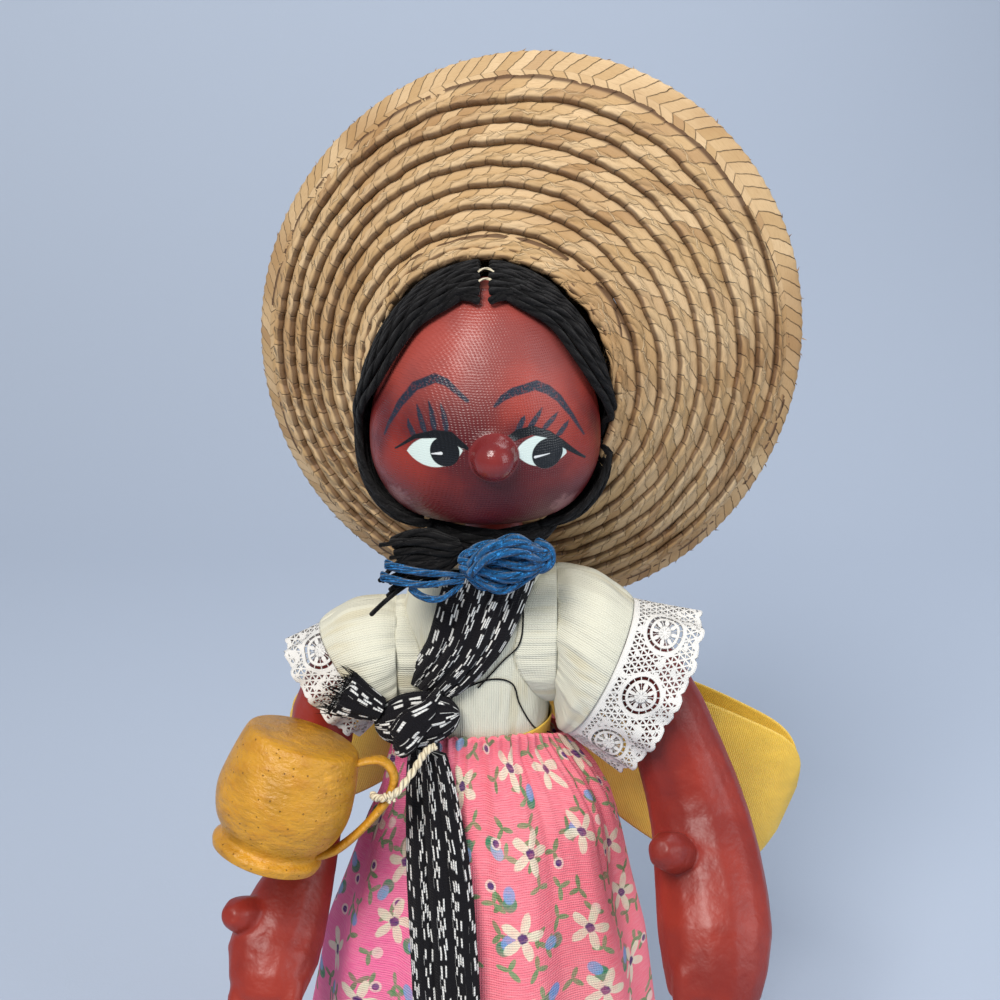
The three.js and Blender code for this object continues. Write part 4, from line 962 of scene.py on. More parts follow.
class DOLL_OT_hat(bpy.types.Operator):
    """Sew the straw hat from rounds of braid, with its wide plaited edge and crown"""

    bl_idname = "doll.hat"
    bl_label = "Straw hat"

    def execute(self, context):
        slope = [(OPENING_RADIUS + run * math.cos(BRIM_SLOPE), run * math.sin(BRIM_SLOPE))
                 for run in (-2, 0, BRIM_END + EDGE_BAND + 2)]
        brim = Shape()
        spiral_braid(brim, slope, 1.3, BRAID_ROUNDS + 0.1, BRAID_PITCH, 1.35, 640)
        spiral_braid(brim, slope, 0.9, 1, BRAID_PITCH, 1.35, 640, closed=True)
        self.sewn(brim, "brim", "straw_brim", "hat_brim")
        self.edge_band()
        self.stubs()
        crown, profile, pitch = Shape(), spline([(31, 0.4), *CROWN_ROWS], 80), 4.8
        spiral_braid(crown, profile, 2.2, (length_along(profile)[-1] - 8) / pitch, pitch, -1.2, 260)
        spiral_braid(crown, profile, 3.2, 1, pitch, -1.2, 260, closed=True)
        button = np.array(CROWN_BUTTON)
        crown.grid(on_hat(circle(60), button[:, :1], button[:, 1:]), caps=True)
        self.sewn(crown, "crown", "straw_crown", "hat_crown")
        return {"FINISHED"}

    def sewn(self, shape, kind, name, node):
        settle(shape.solid(name, finish_of(plait, kind), hat_matrix()), "doll_body", "straw", node)

    def edge_band(self):
        """The broad plaited band round the brim's edge."""
        angle = circle(620)[0]
        length = OPENING_RADIUS + (BRIM_END + EDGE_BAND) * math.cos(BRIM_SLOPE)
        pick = angle * length
        rings = []
        for across, lift in BAND_SECTION:
            run = BRIM_END + across + 0.1 * np.cos(pick * TAU / 3.4) * (across > 7.5)
            up = lift + 0.12 * np.sin(pick * TAU / 3.4 + across * 1.4) * (lift < 1)
            reach = (OPENING_RADIUS + run * math.cos(BRIM_SLOPE) - up * math.sin(BRIM_SLOPE)) * brim_reach(angle, run)
            rings.append(on_hat(angle, reach, run * math.sin(BRIM_SLOPE) + up * math.cos(BRIM_SLOPE)))
        spans = np.r_[[np.clip(across, 0, EDGE_BAND) for across, _ in BAND_SECTION], 0.0]
        flat = chart(np.r_[pick, TAU * length], spans)
        band = Shape().grid([*rings, rings[0]], flat=flat).solid("straw_edge", finish_of(plait, "band"), hat_matrix())
        finished(band, ("WELD", dict(merge_threshold=1e-6)))
        settle(band, "doll_body", "straw", "hat_edge_band")

    def stubs(self):
        """Cut ends of straw that stand out of the rim."""
        hat = hat_matrix()
        guide, aims = [], []
        rng = np.random.default_rng(31)
        for a in np.linspace(0, TAU, 60, endpoint=False) + rng.uniform(0, 0.06, 60):
            run = BRIM_END + EDGE_BAND + rng.uniform(-0.5, 0.1)
            out = OPENING_RADIUS + run * math.cos(BRIM_SLOPE) - 0.6 * math.sin(BRIM_SLOPE)
            out = out * float(brim_reach(a, run))
            spot = Vector((math.cos(a) * out, -math.sin(a) * out, run * math.sin(BRIM_SLOPE) + 0.6))
            side = Vector((math.sin(a), math.cos(a), 0))
            guide.append(hat @ spot)
            away = Vector((math.cos(a), -math.sin(a), 0.5)) * 0.8 + side * rng.choice([-1.0, 1.0]) * 0.8
            aims.append(hat.to_3x3() @ away)
        settle(strands("straw_stubs", (guide, aims), finish_of(stub_straw), 1.3, 0.2, 0.7, 5), "doll_body", "straw")


# ---- Cloth

# Rows of height, half width and half depth; the skirt's have the half widths at its right and left.
TORSO_ROWS = [(228, 0.55, 0.6), (SHOULDER_TOP, 0.84, 0.78), (214, 0.97, 0.95), (198, 1, 1), (178, 0.94, 0.94),
              (156, 1, 1.04), (146, 0.8, 0.8)]
SKIRT_ROWS = [(184, 25.2, 20.6, 25.2), (178, 25.2, 20.6, 26), (165, 29.5, 25, 36), (155, 32, 28, 41.5),
              (147, 35.5, 31, 44), (125, 43.5, 38, 49), (105, 51, 45, 54), (70, 58, 52, 59), (30, 62, 57, 62)]


def cloth(name, points, finish, thickness, place, flat=None, side=-1.0, aim=None, holes=(), more=()):
    """A sheet from a grid of points in mm, closed round unless it has an aim; its cut size is what the
    grid measures. The place is its body, its slot, which is not used, and its CAD node."""
    around = aim is None
    shape = Shape().grid(points, around, flat)
    for grid in more:
        shape.grid(grid)
    thing = shape.piece(name, finish)
    normal = of_faces(thing.data, "normal")
    if around:
        centre = of_faces(thing.data, "center")
        away = (centre - centre.mean(0) * (1, 1, 0)) * (1, 1, 0)
        facing = (away * normal * of_faces(thing.data, "area", 1)).sum()
    else:
        facing = normal.sum(0) @ np.array(aim)
    if facing < 0:
        thing.data.flip_normals()
    if holes:
        cut_round(thing.data, holes)
    finished(thing, ("SOLIDIFY", dict(thickness=thickness / 1000, offset=side, use_even_offset=False)))
    return settle(thing, *place)


def blouse_over(height, offset):
    across, deep = row_at(TORSO_ROWS, np.minimum(height, SHOULDER_TOP))
    return across * TORSO_HALF[0] + offset, deep * TORSO_HALF[1] + offset


def round_doll(angle, across, deep, more, height):
    """Points round the body, with more on top of its half width and half depth."""
    return stacked(TORSO_CENTRE + np.cos(angle) * (across + more), np.sin(angle) * (deep + more), height)


def oval_front(x, across, deep):
    share = np.minimum(abs(x - TORSO_CENTRE) / across, 0.97)
    return -deep * np.sqrt(1 - share ** 2)


def bodice_front(x, height):
    return oval_front(x, *blouse_over(height, BLOUSE_OVER))


def skirt_half(height):
    right, deep, left = row_at(SKIRT_ROWS, height)
    return right - 0.72, deep - 0.24, left - 0.72


def skirt_front(x, height):
    right, deep, left = skirt_half(height)
    return oval_front(x, np.where(x > TORSO_CENTRE, left, right), deep)


def ribbed(part):
    """Cream ribbed knit: fine ribs along the map's v, with its stitches; the darker rib valleys and fold creases are
    painted shade.
    """
    look = looks("cloth")
    finish = Finish("ribbed_" + part, Specular_IOR_Level=0.2, Sheen_Weight=0.15, Sheen_Roughness=0.5)
    u, v, _ = split(finish.flat())
    rib = sine(u * (TAU / RIB_PITCH)) * 0.5 + 0.5
    stitch = sine(v * (TAU / 0.5) + abs(fraction(u / RIB_PITCH) - 0.5) * 7)
    fuzz = noise(finish.place(), 1.8, 4.0, 0.6)
    folds = noise(joined(u * 0.16, v * 0.035), 1.0)
    # Darker in the valleys between ribs and in the soft fold creases: painted shade.
    colour = layered(mix(rib ** 0.7, toned(look.blouse, 0.86), look.blouse), (fuzz * 0.3, toned(look.blouse, 1.08)),
                     (smooth(folds, 0.44, 0.34) * 0.35, (0.60, 0.50, 0.27)))
    return finish.done(colour, 0.8 + fuzz * 0.15, rib * 0.1 + stitch * 0.03 + fuzz * 0.06 + folds * 3.0, 1.0)


def lacework():
    """Cotton lace: oval medallions on a net ground, with a scalloped edge."""
    look = looks("cloth")
    finish = Finish("lacework", Specular_IOR_Level=0.3, Sheen_Weight=0.2)
    u, v, _ = split(finish.flat())
    x, y = (fraction(u / LACE_REPEAT) - 0.5) * LACE_REPEAT, v - 9.5
    across = root((x / 6.4) ** 2.0 + (y / 5.6) ** 2.0)
    turn = heading(y, x)
    rim, inner_rim = smooth(abs(across - 1.0), 0.16, 0.1), smooth(abs(across - 0.66), 0.1, 0.05)
    petals = smooth(across, 0.26 * 1.4, 0.26) + smooth(cosine(turn * 8) * 0.22 + 0.42 - abs(across - 0.42), 0.28, 0.4)
    spokes = smooth(abs(sine(turn * 8)), 0.3, 0.15)
    motif = most(most(rim, inner_rim), most(petals, spokes * 0.99))
    step = 1.9
    a, b, c = (abs(fraction(k / step) - 0.5) for k in (u + v * 0.577, u - v * 0.577, v * 1.1547))
    net = smooth(most(most(a, b), c * 0.9), 0.3, 0.38)
    net = most(net, smooth(noise(joined(u, v), 0.33, 1.0), 0.56, 0.6))
    ground = split(mix(smooth(across, 1.1, 1.05), net, motif))[0]
    end = 19.2 + abs(sine(u * (math.pi / 4.75))) * 1.1
    edge, top = smooth(abs(v - end + 0.8), 0.75, 0.6), smooth(v, 1.7, 1.4)
    solid = most(ground, most(edge, top)) * (v < end)
    thread = sine((u + v) * 8.0) * sine((u - v) * 8.0)
    fuzz = noise(finish.place(), 2.5, 3.0)
    colour = mix(solid * (0.6 + fuzz * 0.4), toned(look.lace, 0.62), look.lace)
    height = solid * 1.4 + thread * 0.2 + fuzz * 0.4
    return finish.done(colour, 0.75, height, 0.3, Alpha=smooth(solid, 0.35, 0.5))


def satin():
    """Golden satin ribbon with a fine weave and lighter streaks along its warp; its darker mottling along the creases
    and between its ribs is painted shade.
    """
    look = looks("cloth")
    finish = Finish("satin", Specular_IOR_Level=0.6, Anisotropic=0.5, Sheen_Weight=0.1)
    u, v, _ = split(finish.flat())
    warp = noise(joined(u * 0.25, v * 7.0), 1.0, 3.0)
    crease = noise(finish.place(), 0.09, 3.0, 0.6)
    ribs = sine((v + u * 0.12) * (TAU / 0.62)) * 0.5 + 0.5
    # Darker where the crease noise rises and between the ribs: painted shade.
    colour = layered(mix(smooth(crease, 0.35, 0.7), look.satin, toned(look.satin, 0.84)),
                     (warp * 0.3, toned(look.satin, 1.25)), ((1 - ribs) * 0.35, toned(look.satin, 0.6)))
    return finish.done(colour, 0.36 + warp * 0.12 + crease * 0.1, warp * 0.4 + crease * 4.0 + ribs * 0.5, 0.22)


def woven_black():
    """Black cotton weave with rows of white flecks, as tied and dyed warp gives."""
    look = looks("cloth")
    finish = Finish("woven_black", Specular_IOR_Level=0.08, Sheen_Weight=0.04, Sheen_Roughness=0.5)
    u, v, _ = split(finish.flat())
    wander = noise(joined(u, v), 0.09) - 0.5
    across = u / 1.05 + wander * 2.2
    thread = whole(across)
    along = v / 5.2 + chance(thread, 4.0) + wander * 0.8
    row = whole(along)
    length = chance(thread, row, 2.0) * 0.12 + 0.24
    fleck = smooth(abs(fraction(along) - 0.5) - length, 0.035, -0.035)
    fleck = fleck * smooth(abs(fraction(across) - 0.5), 0.44, 0.3)
    fleck = fleck * (chance(thread, row, 7.0) > 0.34) * smooth(sine((u + wander * 2.0) * (TAU / 7.4)), -0.45, -0.25)
    weave = sine(v * 8.0 + sine(u * 7.6) * 0.6)
    fuzz = noise(finish.place(), 2.0, 4.0, 0.65)
    colour = layered(mix(fuzz * 0.7, look.shawl, toned(look.shawl, 2.0, 0.006)),
                     (fleck * (0.72 + fuzz * 0.28), look.fleck))
    return finish.done(colour, 0.86 + fuzz * 0.1, weave * 0.3 + fuzz * 0.7 + fleck * 1.2, 0.3)


def calico():
    """Cotton print on pink: cream star flowers, blue buds in green cups, leaves, dots and berries."""
    look = looks("cloth")
    finish = Finish("calico", Specular_IOR_Level=0.2)
    flat, place = finish.flat(), finish.place()
    u, v, _ = split(flat)
    side = smooth(split(place)[0], -34.0, -14.0)
    threads = noise(joined(u * 0.2, v * 3.2), 1.0)
    ground = mix(side, look.calico, look.calico_left)
    colour = mix(smooth(noise(flat, 0.03, 3.0), 0.4, 0.75) * 0.2, ground, (1.0, 0.42, 0.42))

    def spread(step, offset, keep, seed):
        """The place in a jittered grid of the flat map, that cell's own luck, and whether it is filled."""
        shifted = vector("ADD", flat, (offset, offset * 0.6, 0))
        cell = vector("FLOOR", vector("SCALE", shifted, scale=1 / step))
        a, b, _ = split(cell)
        luck = [chance(a, b, seed + k) for k in range(3)]
        jitter = joined((luck[0] - 0.5) * 0.4 + 0.5, (luck[1] - 0.5) * 0.4 + 0.5, 0)
        middle = vector("SCALE", vector("ADD", cell, jitter), scale=step)
        spot = vector("MULTIPLY", vector("SUBTRACT", shifted, middle), (1, 1, 0))
        return spot, luck[2], chance(a, b, seed + 5) < keep

    def blade(spot, luck, turn, away, long, wide):
        x, y, _ = split(turned(spot, luck * 6.28 + turn))
        return smooth(((x - away) / long) ** 2.0 + (y / wide) ** 2.0, 1.2, 0.72)

    for step, offset, keep, seed in ((10.5, 3.0, 0.62, 1.0), (15.0, 8.0, 0.7, 11.0)):
        spot, luck, seen = spread(step, offset, keep, seed)
        leaves = blade(spot, luck, 0.0, 2.1, 2.3, 0.85)
        for turn in (1.9, 3.7):
            leaves = most(leaves, blade(spot, luck, turn, 1.9, 2.0, 0.8))
        colour = mix(leaves * seen * 0.9, colour, mix(luck, (0.03, 0.20, 0.05), (0.09, 0.33, 0.12)))
    spot, luck, seen = spread(14.0, 5.0, 0.42, 31.0)
    cup, bud = blade(spot, luck, 0.0, -1.6, 2.4, 2.3), blade(spot, luck, 0.0, 0.9, 2.6, 1.9)
    colour = layered(colour, (cup * seen, (0.04, 0.24, 0.12)),
                     (bud * seen * 0.95, mix(luck, (0.14, 0.30, 0.62), (0.20, 0.46, 0.66))))
    spot, luck, seen = spread(12.0, 1.0, 0.45, 41.0)
    reach = vector("LENGTH", spot, out=1)
    colour = layered(colour, (smooth(reach, 2.0, 1.6) * seen * 0.8, (0.86, 0.72, 0.60)),
                     (smooth(reach, 1.25, 0.95) * seen * (luck > 0.5), (0.06, 0.02, 0.16)))
    spot, luck, seen = spread(23.0, 0.0, 0.85, 51.0)
    x, y, _ = split(turned(spot, luck * 7.0))
    reach = root(x * x + y * y) / 7.4 + noise(spot, 0.5) * 0.2
    notch = abs(cosine(heading(y, x) * 2.5))
    petals, heart = smooth(reach - (notch ** 1.7) * 0.72 - 0.34, 0.05, -0.05), smooth(reach, 0.34, 0.27)
    weave = sine(v * 9.0) + sine(u * 9.0) * 0.5
    fuzz = noise(place, 1.4, 4.0, 0.6)
    faded = smooth(noise(flat, 0.22, 4.0, 0.65), 0.4, 0.7) * 0.3
    colour = layered(colour, (petals * seen * 0.92, mix(threads, (0.72, 0.66, 0.46), (0.86, 0.82, 0.62))),
                     (heart * seen, (0.05, 0.015, 0.13)), (faded, ground),
                     (smooth(threads, 0.35, 0.75) * 0.22, (1.0, 0.62, 0.62)))
    return finish.done(colour, 0.84 + fuzz * 0.1, weave * 0.3 + threads * 0.5 + fuzz * 0.5)


# For each sleeve: its side, half height and height at the armhole, seam, way out, half height and half depth
# at the seam, the lace's flare and its length. For each yoke: side, height, half depth and half height.
SLEEVES = {
    "left": (1, 20.5, 207.5, (30, 198), (0.9, -0.43), 22.5, 17, 4, 20),
    "right": (-1, 16.5, 201.0, (-38, 198), (-0.8, -0.6), 16.6, 13.5, 1, 12),
}
YOKES = ((1, 207.5, 14.2, 19.4), (-1, 201.0, 12.2, 15.6))
ARMHOLES = ((1, 210.0), (-1, 204.0))


class DOLL_OT_blouse(bpy.types.Operator):
    """Sew the ribbed blouse, its two sleeves and their lace"""

    bl_idname = "doll.blouse"
    bl_label = "Blouse"

    def execute(self, context):
        height, angle = column(COLLAR_HEIGHT, WAIST_HEIGHT - 5, 130), circle(300)
        wrinkle = 0.45 * np.maximum(swirl(5, 9.0, np.cos(angle) * 24, height * 0.55, np.sin(angle) * 20), 0)
        wrinkle = wrinkle * np.clip((COLLAR_HEIGHT - height) / 5, 0, 1)
        points = round_doll(angle, *blouse_over(height, BLOUSE_OVER), wrinkle, height)
        yokes = [self.yoke(*yoke) for yoke in YOKES]
        cloth("blouse", points, finish_of(ribbed, "body"), 1.0,
              ("doll_body", "blouse_cloth", "blouse_bodice"), holes=ARMHOLES, more=yokes)
        for name, shape in SLEEVES.items():
            self.sleeve(name, *shape)
        return {"FINISHED"}

    def yoke(self, side, height, deep, tall):
        """Blouse cloth that runs from the body out to one sleeve's seam."""
        turn, share = circle(120) * -side, column(0, 1, 14)
        y, z = np.sin(turn) * deep, height + np.cos(turn) * tall
        across, reach = blouse_over(z, BLOUSE_OVER - 0.3)
        seat = across * np.sqrt(np.maximum(1 - (y / reach) ** 2, 0.02))
        seat = seat + (21.9 - seat) * share
        grow = 0.4 * np.sin(math.pi * share)
        return stacked(TORSO_CENTRE + side * seat, y * (1 + grow / deep), height + np.cos(turn) * (tall + grow))

    def sleeve(self, name, side, hole, height, seam, out, high, deep, flare, lace):
        """One gathered sleeve from its armhole to its seam, and the lace beyond."""
        body = name + "_arm"
        level = np.array([0, 1, 0])
        start = np.array([TORSO_CENTRE + side * 22.1, 0, height])
        end = np.array([seam[0], -2, seam[1]], float)
        way = np.array([out[0], 0, out[1]]) / math.hypot(*out)
        turn, share = circle(240)[..., None], column(0, 1, 40)[..., None]
        towards = unit(np.array([side, 0, 0]) * (1 - share) + way * share)
        rise = np.concatenate([-towards[..., 2:] * side, 0 * towards[..., :1], towards[..., :1] * side], -1)
        crease = np.maximum(np.sin(9 * turn + 2 * swirl(8, 1.6, np.cos(turn), share)), -0.4)
        crease = (crease - 0.9) * 0.9 * np.exp(-2.6 * share) + 0.5 * (swirl(9, 5.0, 15 * turn, 30 * share) - 1)
        more = np.sin(math.pi * share) * 2.2 + crease
        tall, thick = hole + share * (high - hole) + more, 15 + share * (deep - 15) + more
        points = start + share * (end - start) + rise * tall * np.cos(turn) + level * thick * np.sin(turn)
        sleeve = cloth("sleeve_" + name + "_cloth", points, finish_of(ribbed, "sleeve"), 0.9,
                       (body, "blouse_cloth", "sleeve_" + name), side=0.0)
        turn, along = circle(360)[..., None], column(0.4, lace, 36)[..., None]
        free = along / lace
        grow = flare * free - 0.7 + 0.9 * free * np.sin(13 * turn + swirl(10, 1.2, np.cos(turn), free))
        rise = np.array([-way[2] * side, 0, way[0] * side])
        points = end + way * along + rise * (high + grow) * np.cos(turn) + level * (deep + grow) * np.sin(turn)
        flat = grid_flat(points, True)
        flat[..., 0] *= round(flat[0, -1, 0] / LACE_REPEAT) * LACE_REPEAT / flat[0, -1, 0]
        flat[..., 1] += 20.0 - lace
        cloth("lace_edging_" + name, points, finish_of(lacework), 0.35,
              (body, "lace", "lace_" + name), flat=flat, side=0.0)


def cut_round(mesh, holes):
    """Takes the armholes' faces out of the blouse."""
    centre = of_faces(mesh, "center") * 1000 - DOLL_AXIS
    gone = np.zeros(len(centre), bool)
    for side, height in holes:
        near = np.hypot(centre[:, 1], centre[:, 2] - height) < ARMHOLE_RADIUS
        gone |= near & ((centre[:, 0] - TORSO_CENTRE) * side > 0)
    if not gone.any():
        raise RuntimeError("the armholes miss the blouse")
    shape = bmesh.new()
    shape.from_mesh(mesh)
    shape.faces.ensure_lookup_table()
    bmesh.ops.delete(shape, geom=[shape.faces[k] for k in np.flatnonzero(gone)], context="FACES")
    shape.to_mesh(mesh)
    shape.free()


class DOLL_OT_skirt(bpy.types.Operator):
    """Hang the gathered calico skirt and tie the satin ribbon round the waist"""

    bl_idname = "doll.skirt"
    bl_label = "Skirt and ribbon"

    def execute(self, context):
        angle = circle(700)
        left, right = np.maximum(np.cos(angle - 0.35), 0), np.maximum(-np.cos(angle), 0)
        edge = WAIST_HEIGHT + 6 - 4.5 * (0.5 + 0.5 * np.sin(angle)) - 8 * left ** 2 - 4.5 * right ** 2
        level = column(0, 1, 70) ** 1.15
        height = edge + (HEM_HEIGHT - edge) * level
        fall = np.clip((WAIST_HEIGHT - height) / 148, 0, 1)
        fold = 3.8 * np.sqrt(fall) * (0.7 * np.cos(10 * angle) + 0.3 * np.cos(5 * angle + 1) - 1)
        drift = swirl(21, 1.3, np.cos(angle) * 1.2, np.sin(angle) * 1.2, level * 0.6)
        gather = np.sin(52 * angle + 3 * drift) * np.exp(-level * 7)
        fine = np.sin(26 * angle + 4 * drift) * np.exp(-level * 2.5) * np.clip(level * 9, 0, 1)
        rumple = np.minimum(swirl(22, 13.0, np.cos(angle) * 50, np.sin(angle) * 45, height * 0.7), 0)
        fold = fold + 0.6 * (gather - 1) + 0.9 * (fine - 1) * np.exp(-level * 2)
        fold = fold + 0.9 * rumple * np.clip(level * 5, 0, 1)
        narrow, deep, wide = skirt_half(height)
        points = round_doll(angle, np.where(np.cos(angle) > 0, wide, narrow), deep, fold, height)
        cloth("calico_skirt", points, finish_of(calico), 0.5,
              ("doll_body", "calico", "skirt"))
        height, angle = column(WAIST_HEIGHT + 4, WAIST_HEIGHT - 13, 26), circle(300)
        lie = 0.75 + 0.25 * swirl(23, 6.0, np.cos(angle) * 30, height * 1.5, np.sin(angle) * 25)
        points = round_doll(angle, *blouse_over(height, BLOUSE_OVER), lie, height)
        cloth("waist_satin", points, finish_of(satin), 0.3,
              ("doll_body", "satin_ribbon", "waist_ribbon"))
        return {"FINISHED"}


def pleated(rows, surface, clearance, thickness, pleats, seed, steps):
    """A gathered bundle of cloth laid on a surface: rows of x, half width and height."""
    line = spline(rows, steps)
    u, v = np.linspace(0, 1, 60)[None], column(0, 1, steps + 1)
    side = 2 * u - 1
    x, z = line[:, :1] + side * line[:, 1:2], line[:, 2:3] + 0 * u
    edge = np.sqrt(np.maximum(1 - side ** 4, 0))
    drift = 0.9 * swirl(seed, 0.8, u, v * 1.3)
    ridge = np.abs(np.sin(math.pi * pleats * u + drift)) ** 0.6
    fine = np.abs(np.sin(math.pi * pleats * 2.6 * u + 2.4 * drift + 1)) ** 0.7
    seat = surface(x, z) - clearance
    outer = stacked(x, seat - thickness * (0.14 + edge * (0.3 + 0.46 * ridge + 0.14 * fine)), z)
    ring = np.concatenate([outer, stacked(x, seat, z)[:, ::-1]], 1)
    flat = chart(np.r_[np.linspace(0, 1.9, 60), np.linspace(1.9, 3.8, 61)], length_along(line[:, [0, 2]]))
    flat[..., 0] *= 2 * line[:, 1].mean()
    return ring, flat


def pleated_sweep(rows, pleats, seed, steps=60, depth=0.14):
    """A bundle of cloth swept along rows of x, y, z, half height and half depth."""
    line = spline(rows, steps)
    middle, size = line[:, :3], line[:, 3:5]
    _, rise, side = way_along(middle)
    angle = circle(96)
    drift = swirl(seed, 1.2, np.cos(angle), np.sin(angle), column(0, 1, steps + 1) * 2)
    reach = 1 - depth + depth * np.abs(np.sin(pleats * angle / 2 + 1.3 * drift)) ** 0.6
    points = (middle[:, None] + rise[:, None] * (np.cos(angle) * reach * size[:, :1])[..., None]
              + side[:, None] * (np.sin(angle) * reach * size[:, 1:])[..., None])
    return points, chart(np.linspace(0, TAU * size.mean() * 1.4, 97), length_along(middle))


def folded(name, grids, finish, node, slot="shawl_cloth", more=()):
    """Bundles of folded cloth as one sheet; half of their skin is measured, but nothing uses it."""
    shape, girth, run = Shape(), 0.0, 0.0
    for points, flat in grids:
        shape.grid(points, flat=flat, caps=True)
        around, along = grid_flat(points, True)[-1, -1]
        girth, run = girth + around * along / 2, run + along
    thing = shape.solid(name, finish)
    return settle(thing, "doll_body", slot, node)


# Rows of x, half width and height for the shawl's tail, and of x and height for the loose threads.
SHAWL_TAIL = [
    (-17.4, 5.2, 181.6), (-16.6, 7.2, 170), (-14.6, 9.2, 148), (-12.8, 9.6, 120), (-11.6, 9.5, 95), (-11, 9, 74),
]
LOOSE_THREADS = [
    [(5.8, 235.3), (8.3, 225.8), (8.8, 217.5), (7.5, 211.0), (2.6, 206.0), (-3.4, 199.4)],
    [(-12.0, 194.0), (-7.8, 198.7), (-0.1, 201.7), (5.9, 199.6), (8.1, 192.2), (12.5, 182.3), (17.6, 176.5)],
]


class DOLL_OT_shawl(bpy.types.Operator):
    """Lay the shawl from the neck to its knot, with the short end and the long tail"""

    bl_idname = "doll.shawl"
    bl_label = "Shawl"

    def execute(self, context):
        black = finish_of(woven_black)
        kx, kz = KNOT_PLACE
        hx, hy, hz = KNOT_HALF
        depth = float(bodice_front(kx, kz)) - GAP - 2.4 - hy
        neck = pleated([
            (1, 12.5, COLLAR_HEIGHT), (-1, 12.5, 226), (-6, 11, 213), (-11.5, 9.8, 204), (kx + 3.8, 8, kz + hz - 1),
        ], bodice_front, 0.9, 3.4, 4, 31, 90)
        folded("shawl_bands", [neck], black, "shawl_neck", more=[self.threads()])
        core = [[kx - hx * 0.98 * math.cos(t), depth, kz - 2 * math.cos(t), hz * math.sin(t), hy * math.sin(t)]
                for t in np.linspace(0.2, math.pi - 0.2, 9)]
        wrap = [(kx - 5, depth + 2, kz - hz + 0.6, 2.2, 1.6), (kx - 4.4, depth - hy + 1.6, kz - 4.6, 4.2, 2.0),
                (kx - 1.4, depth - hy + 0.9, kz + 0.8, 4.8, 2.2), (kx + 3.2, depth - hy + 2.0, kz + 5.2, 4.0, 1.9),
                (kx + 6, depth + 2, kz + hz - 0.9, 2.2, 1.5)]
        folded("shawl_tie", [pleated_sweep(core, 16, 33), pleated_sweep(wrap, 10, 34)], black,
               "shawl_knot")
        short = [(kx - hx + 2, depth - 0.8, kz + 3.5, 3.6, 3), (kx - hx - 4, depth - 1.8, kz + 7, 5.8, 3.2),
                 (kx - hx - 8, depth - 3, kz + 10, 7.0, 2.6)]
        short_end = pleated_sweep(short, 12, 35, 30)
        ends = self.fringe("shawl_fringe_short", short_end[0][-1], (-0.75, -0.2, 0.35), 70, 38)
        folded("shawl_short", [short_end], black, "shawl_short_end", more=[ends])

        def surface(x, z):
            over = np.where(z > 170, bodice_front(x, z) - 6.5, 0)
            hung = depth + 3.2 - np.maximum(z - WAIST_HEIGHT, 0) * 0.1
            return np.minimum(np.minimum(over, skirt_front(x, z) - 0.3), hung)

        tail = pleated(SHAWL_TAIL, surface, 0.4, 3.4, 3, 36, 160)
        ends = self.fringe("shawl_fringe_long", tail[0][-1], (0, -0.1, -1), 130, 37)
        folded("shawl_long", [tail], black, "shawl_tail", more=[ends])
        return {"FINISHED"}

    def threads(self):
        """Two loose black threads that lie on the blouse."""
        blouse, loose = bpy.data.objects["blouse"], Shape()
        for row in LOOSE_THREADS:
            points = []
            for x, z in spline(row, 60):
                place = Vector((np.array([x, -120, z]) + DOLL_AXIS) / 1000)
                hit, spot, _, _ = blouse.ray_cast(place, Vector((0, 1, 0)))
                points.append((x, spot.y * 1000 - DOLL_AXIS[1] if hit else float(bodice_front(x, z)), z))
            points = np.array(points)
            soft = np.convolve(np.pad(points[:, 1], 5, "edge"), np.ones(11) / 11, "valid")
            points[:, 1] = np.minimum(soft, points[:, 1]) - 0.35
            loose.tube(points, 0.24, 6)
        return settle(loose.piece("loose_threads", finish_of(yarn, "black", 0.3)), "doll_body", "shawl_cloth")

    def fringe(self, name, points, way, count, seed):
        """Cut threads at the end of a bundle, all over its last row of points."""
        rng = np.random.default_rng(seed)
        guide, aims = [], []
        for _ in range(count):
            a, b = points[rng.integers(len(points))], points[rng.integers(len(points))]
            guide.append(a + (b - a) * rng.uniform(0, 1) - np.array(way) * 1.0)
            aims.append(np.array(way) + rng.normal(0, 0.12, 3))
        ends = strands(name, (guide, aims), finish_of(yarn, "black", 1.0), 6.0, 0.22, 0.5, seed)
        return settle(ends, "doll_body", "shawl_cloth")


# Rows of x, y, z, half height and half depth for the loops; of x, z and half width for the tails, with how
# far each tail stands off the skirt.
BOW_LOOPS = {
    "left": [(9.4, 1, 170, 4, 2), (18, 8, 165, 12, 5.5), (34, 11, 155, 20, 6.9), (54, 9, 144, 26, 6.7),
             (74, 4, 135, 28, 5.5), (86, 1.5, 131.5, 25.5, 4.2), (92.5, 0.4, 130, 19, 2.6), (95.4, 0, 129, 9, 0.6)],
    "right": [(-9.4, 1, 170, 4, 2), (-18, 8, 166, 11, 5.5), (-34, 12, 157, 18, 6.5), (-50, 11, 149, 20, 5.5),
              (-58.5, 9, 145.5, 18, 3.4), (-62, 8, 144, 10, 0.8)],
}
BOW_TAILS = {
    "left": ([(6, 158, 6), (12, 140, 12), (15, 112, 14), (16, 82, 14.5)], 1.7),
    "right": ([(-9, 158, 5), (-16, 138, 11), (-20, 118, 12.5), (-22, 96, 13)], 0.7),
}


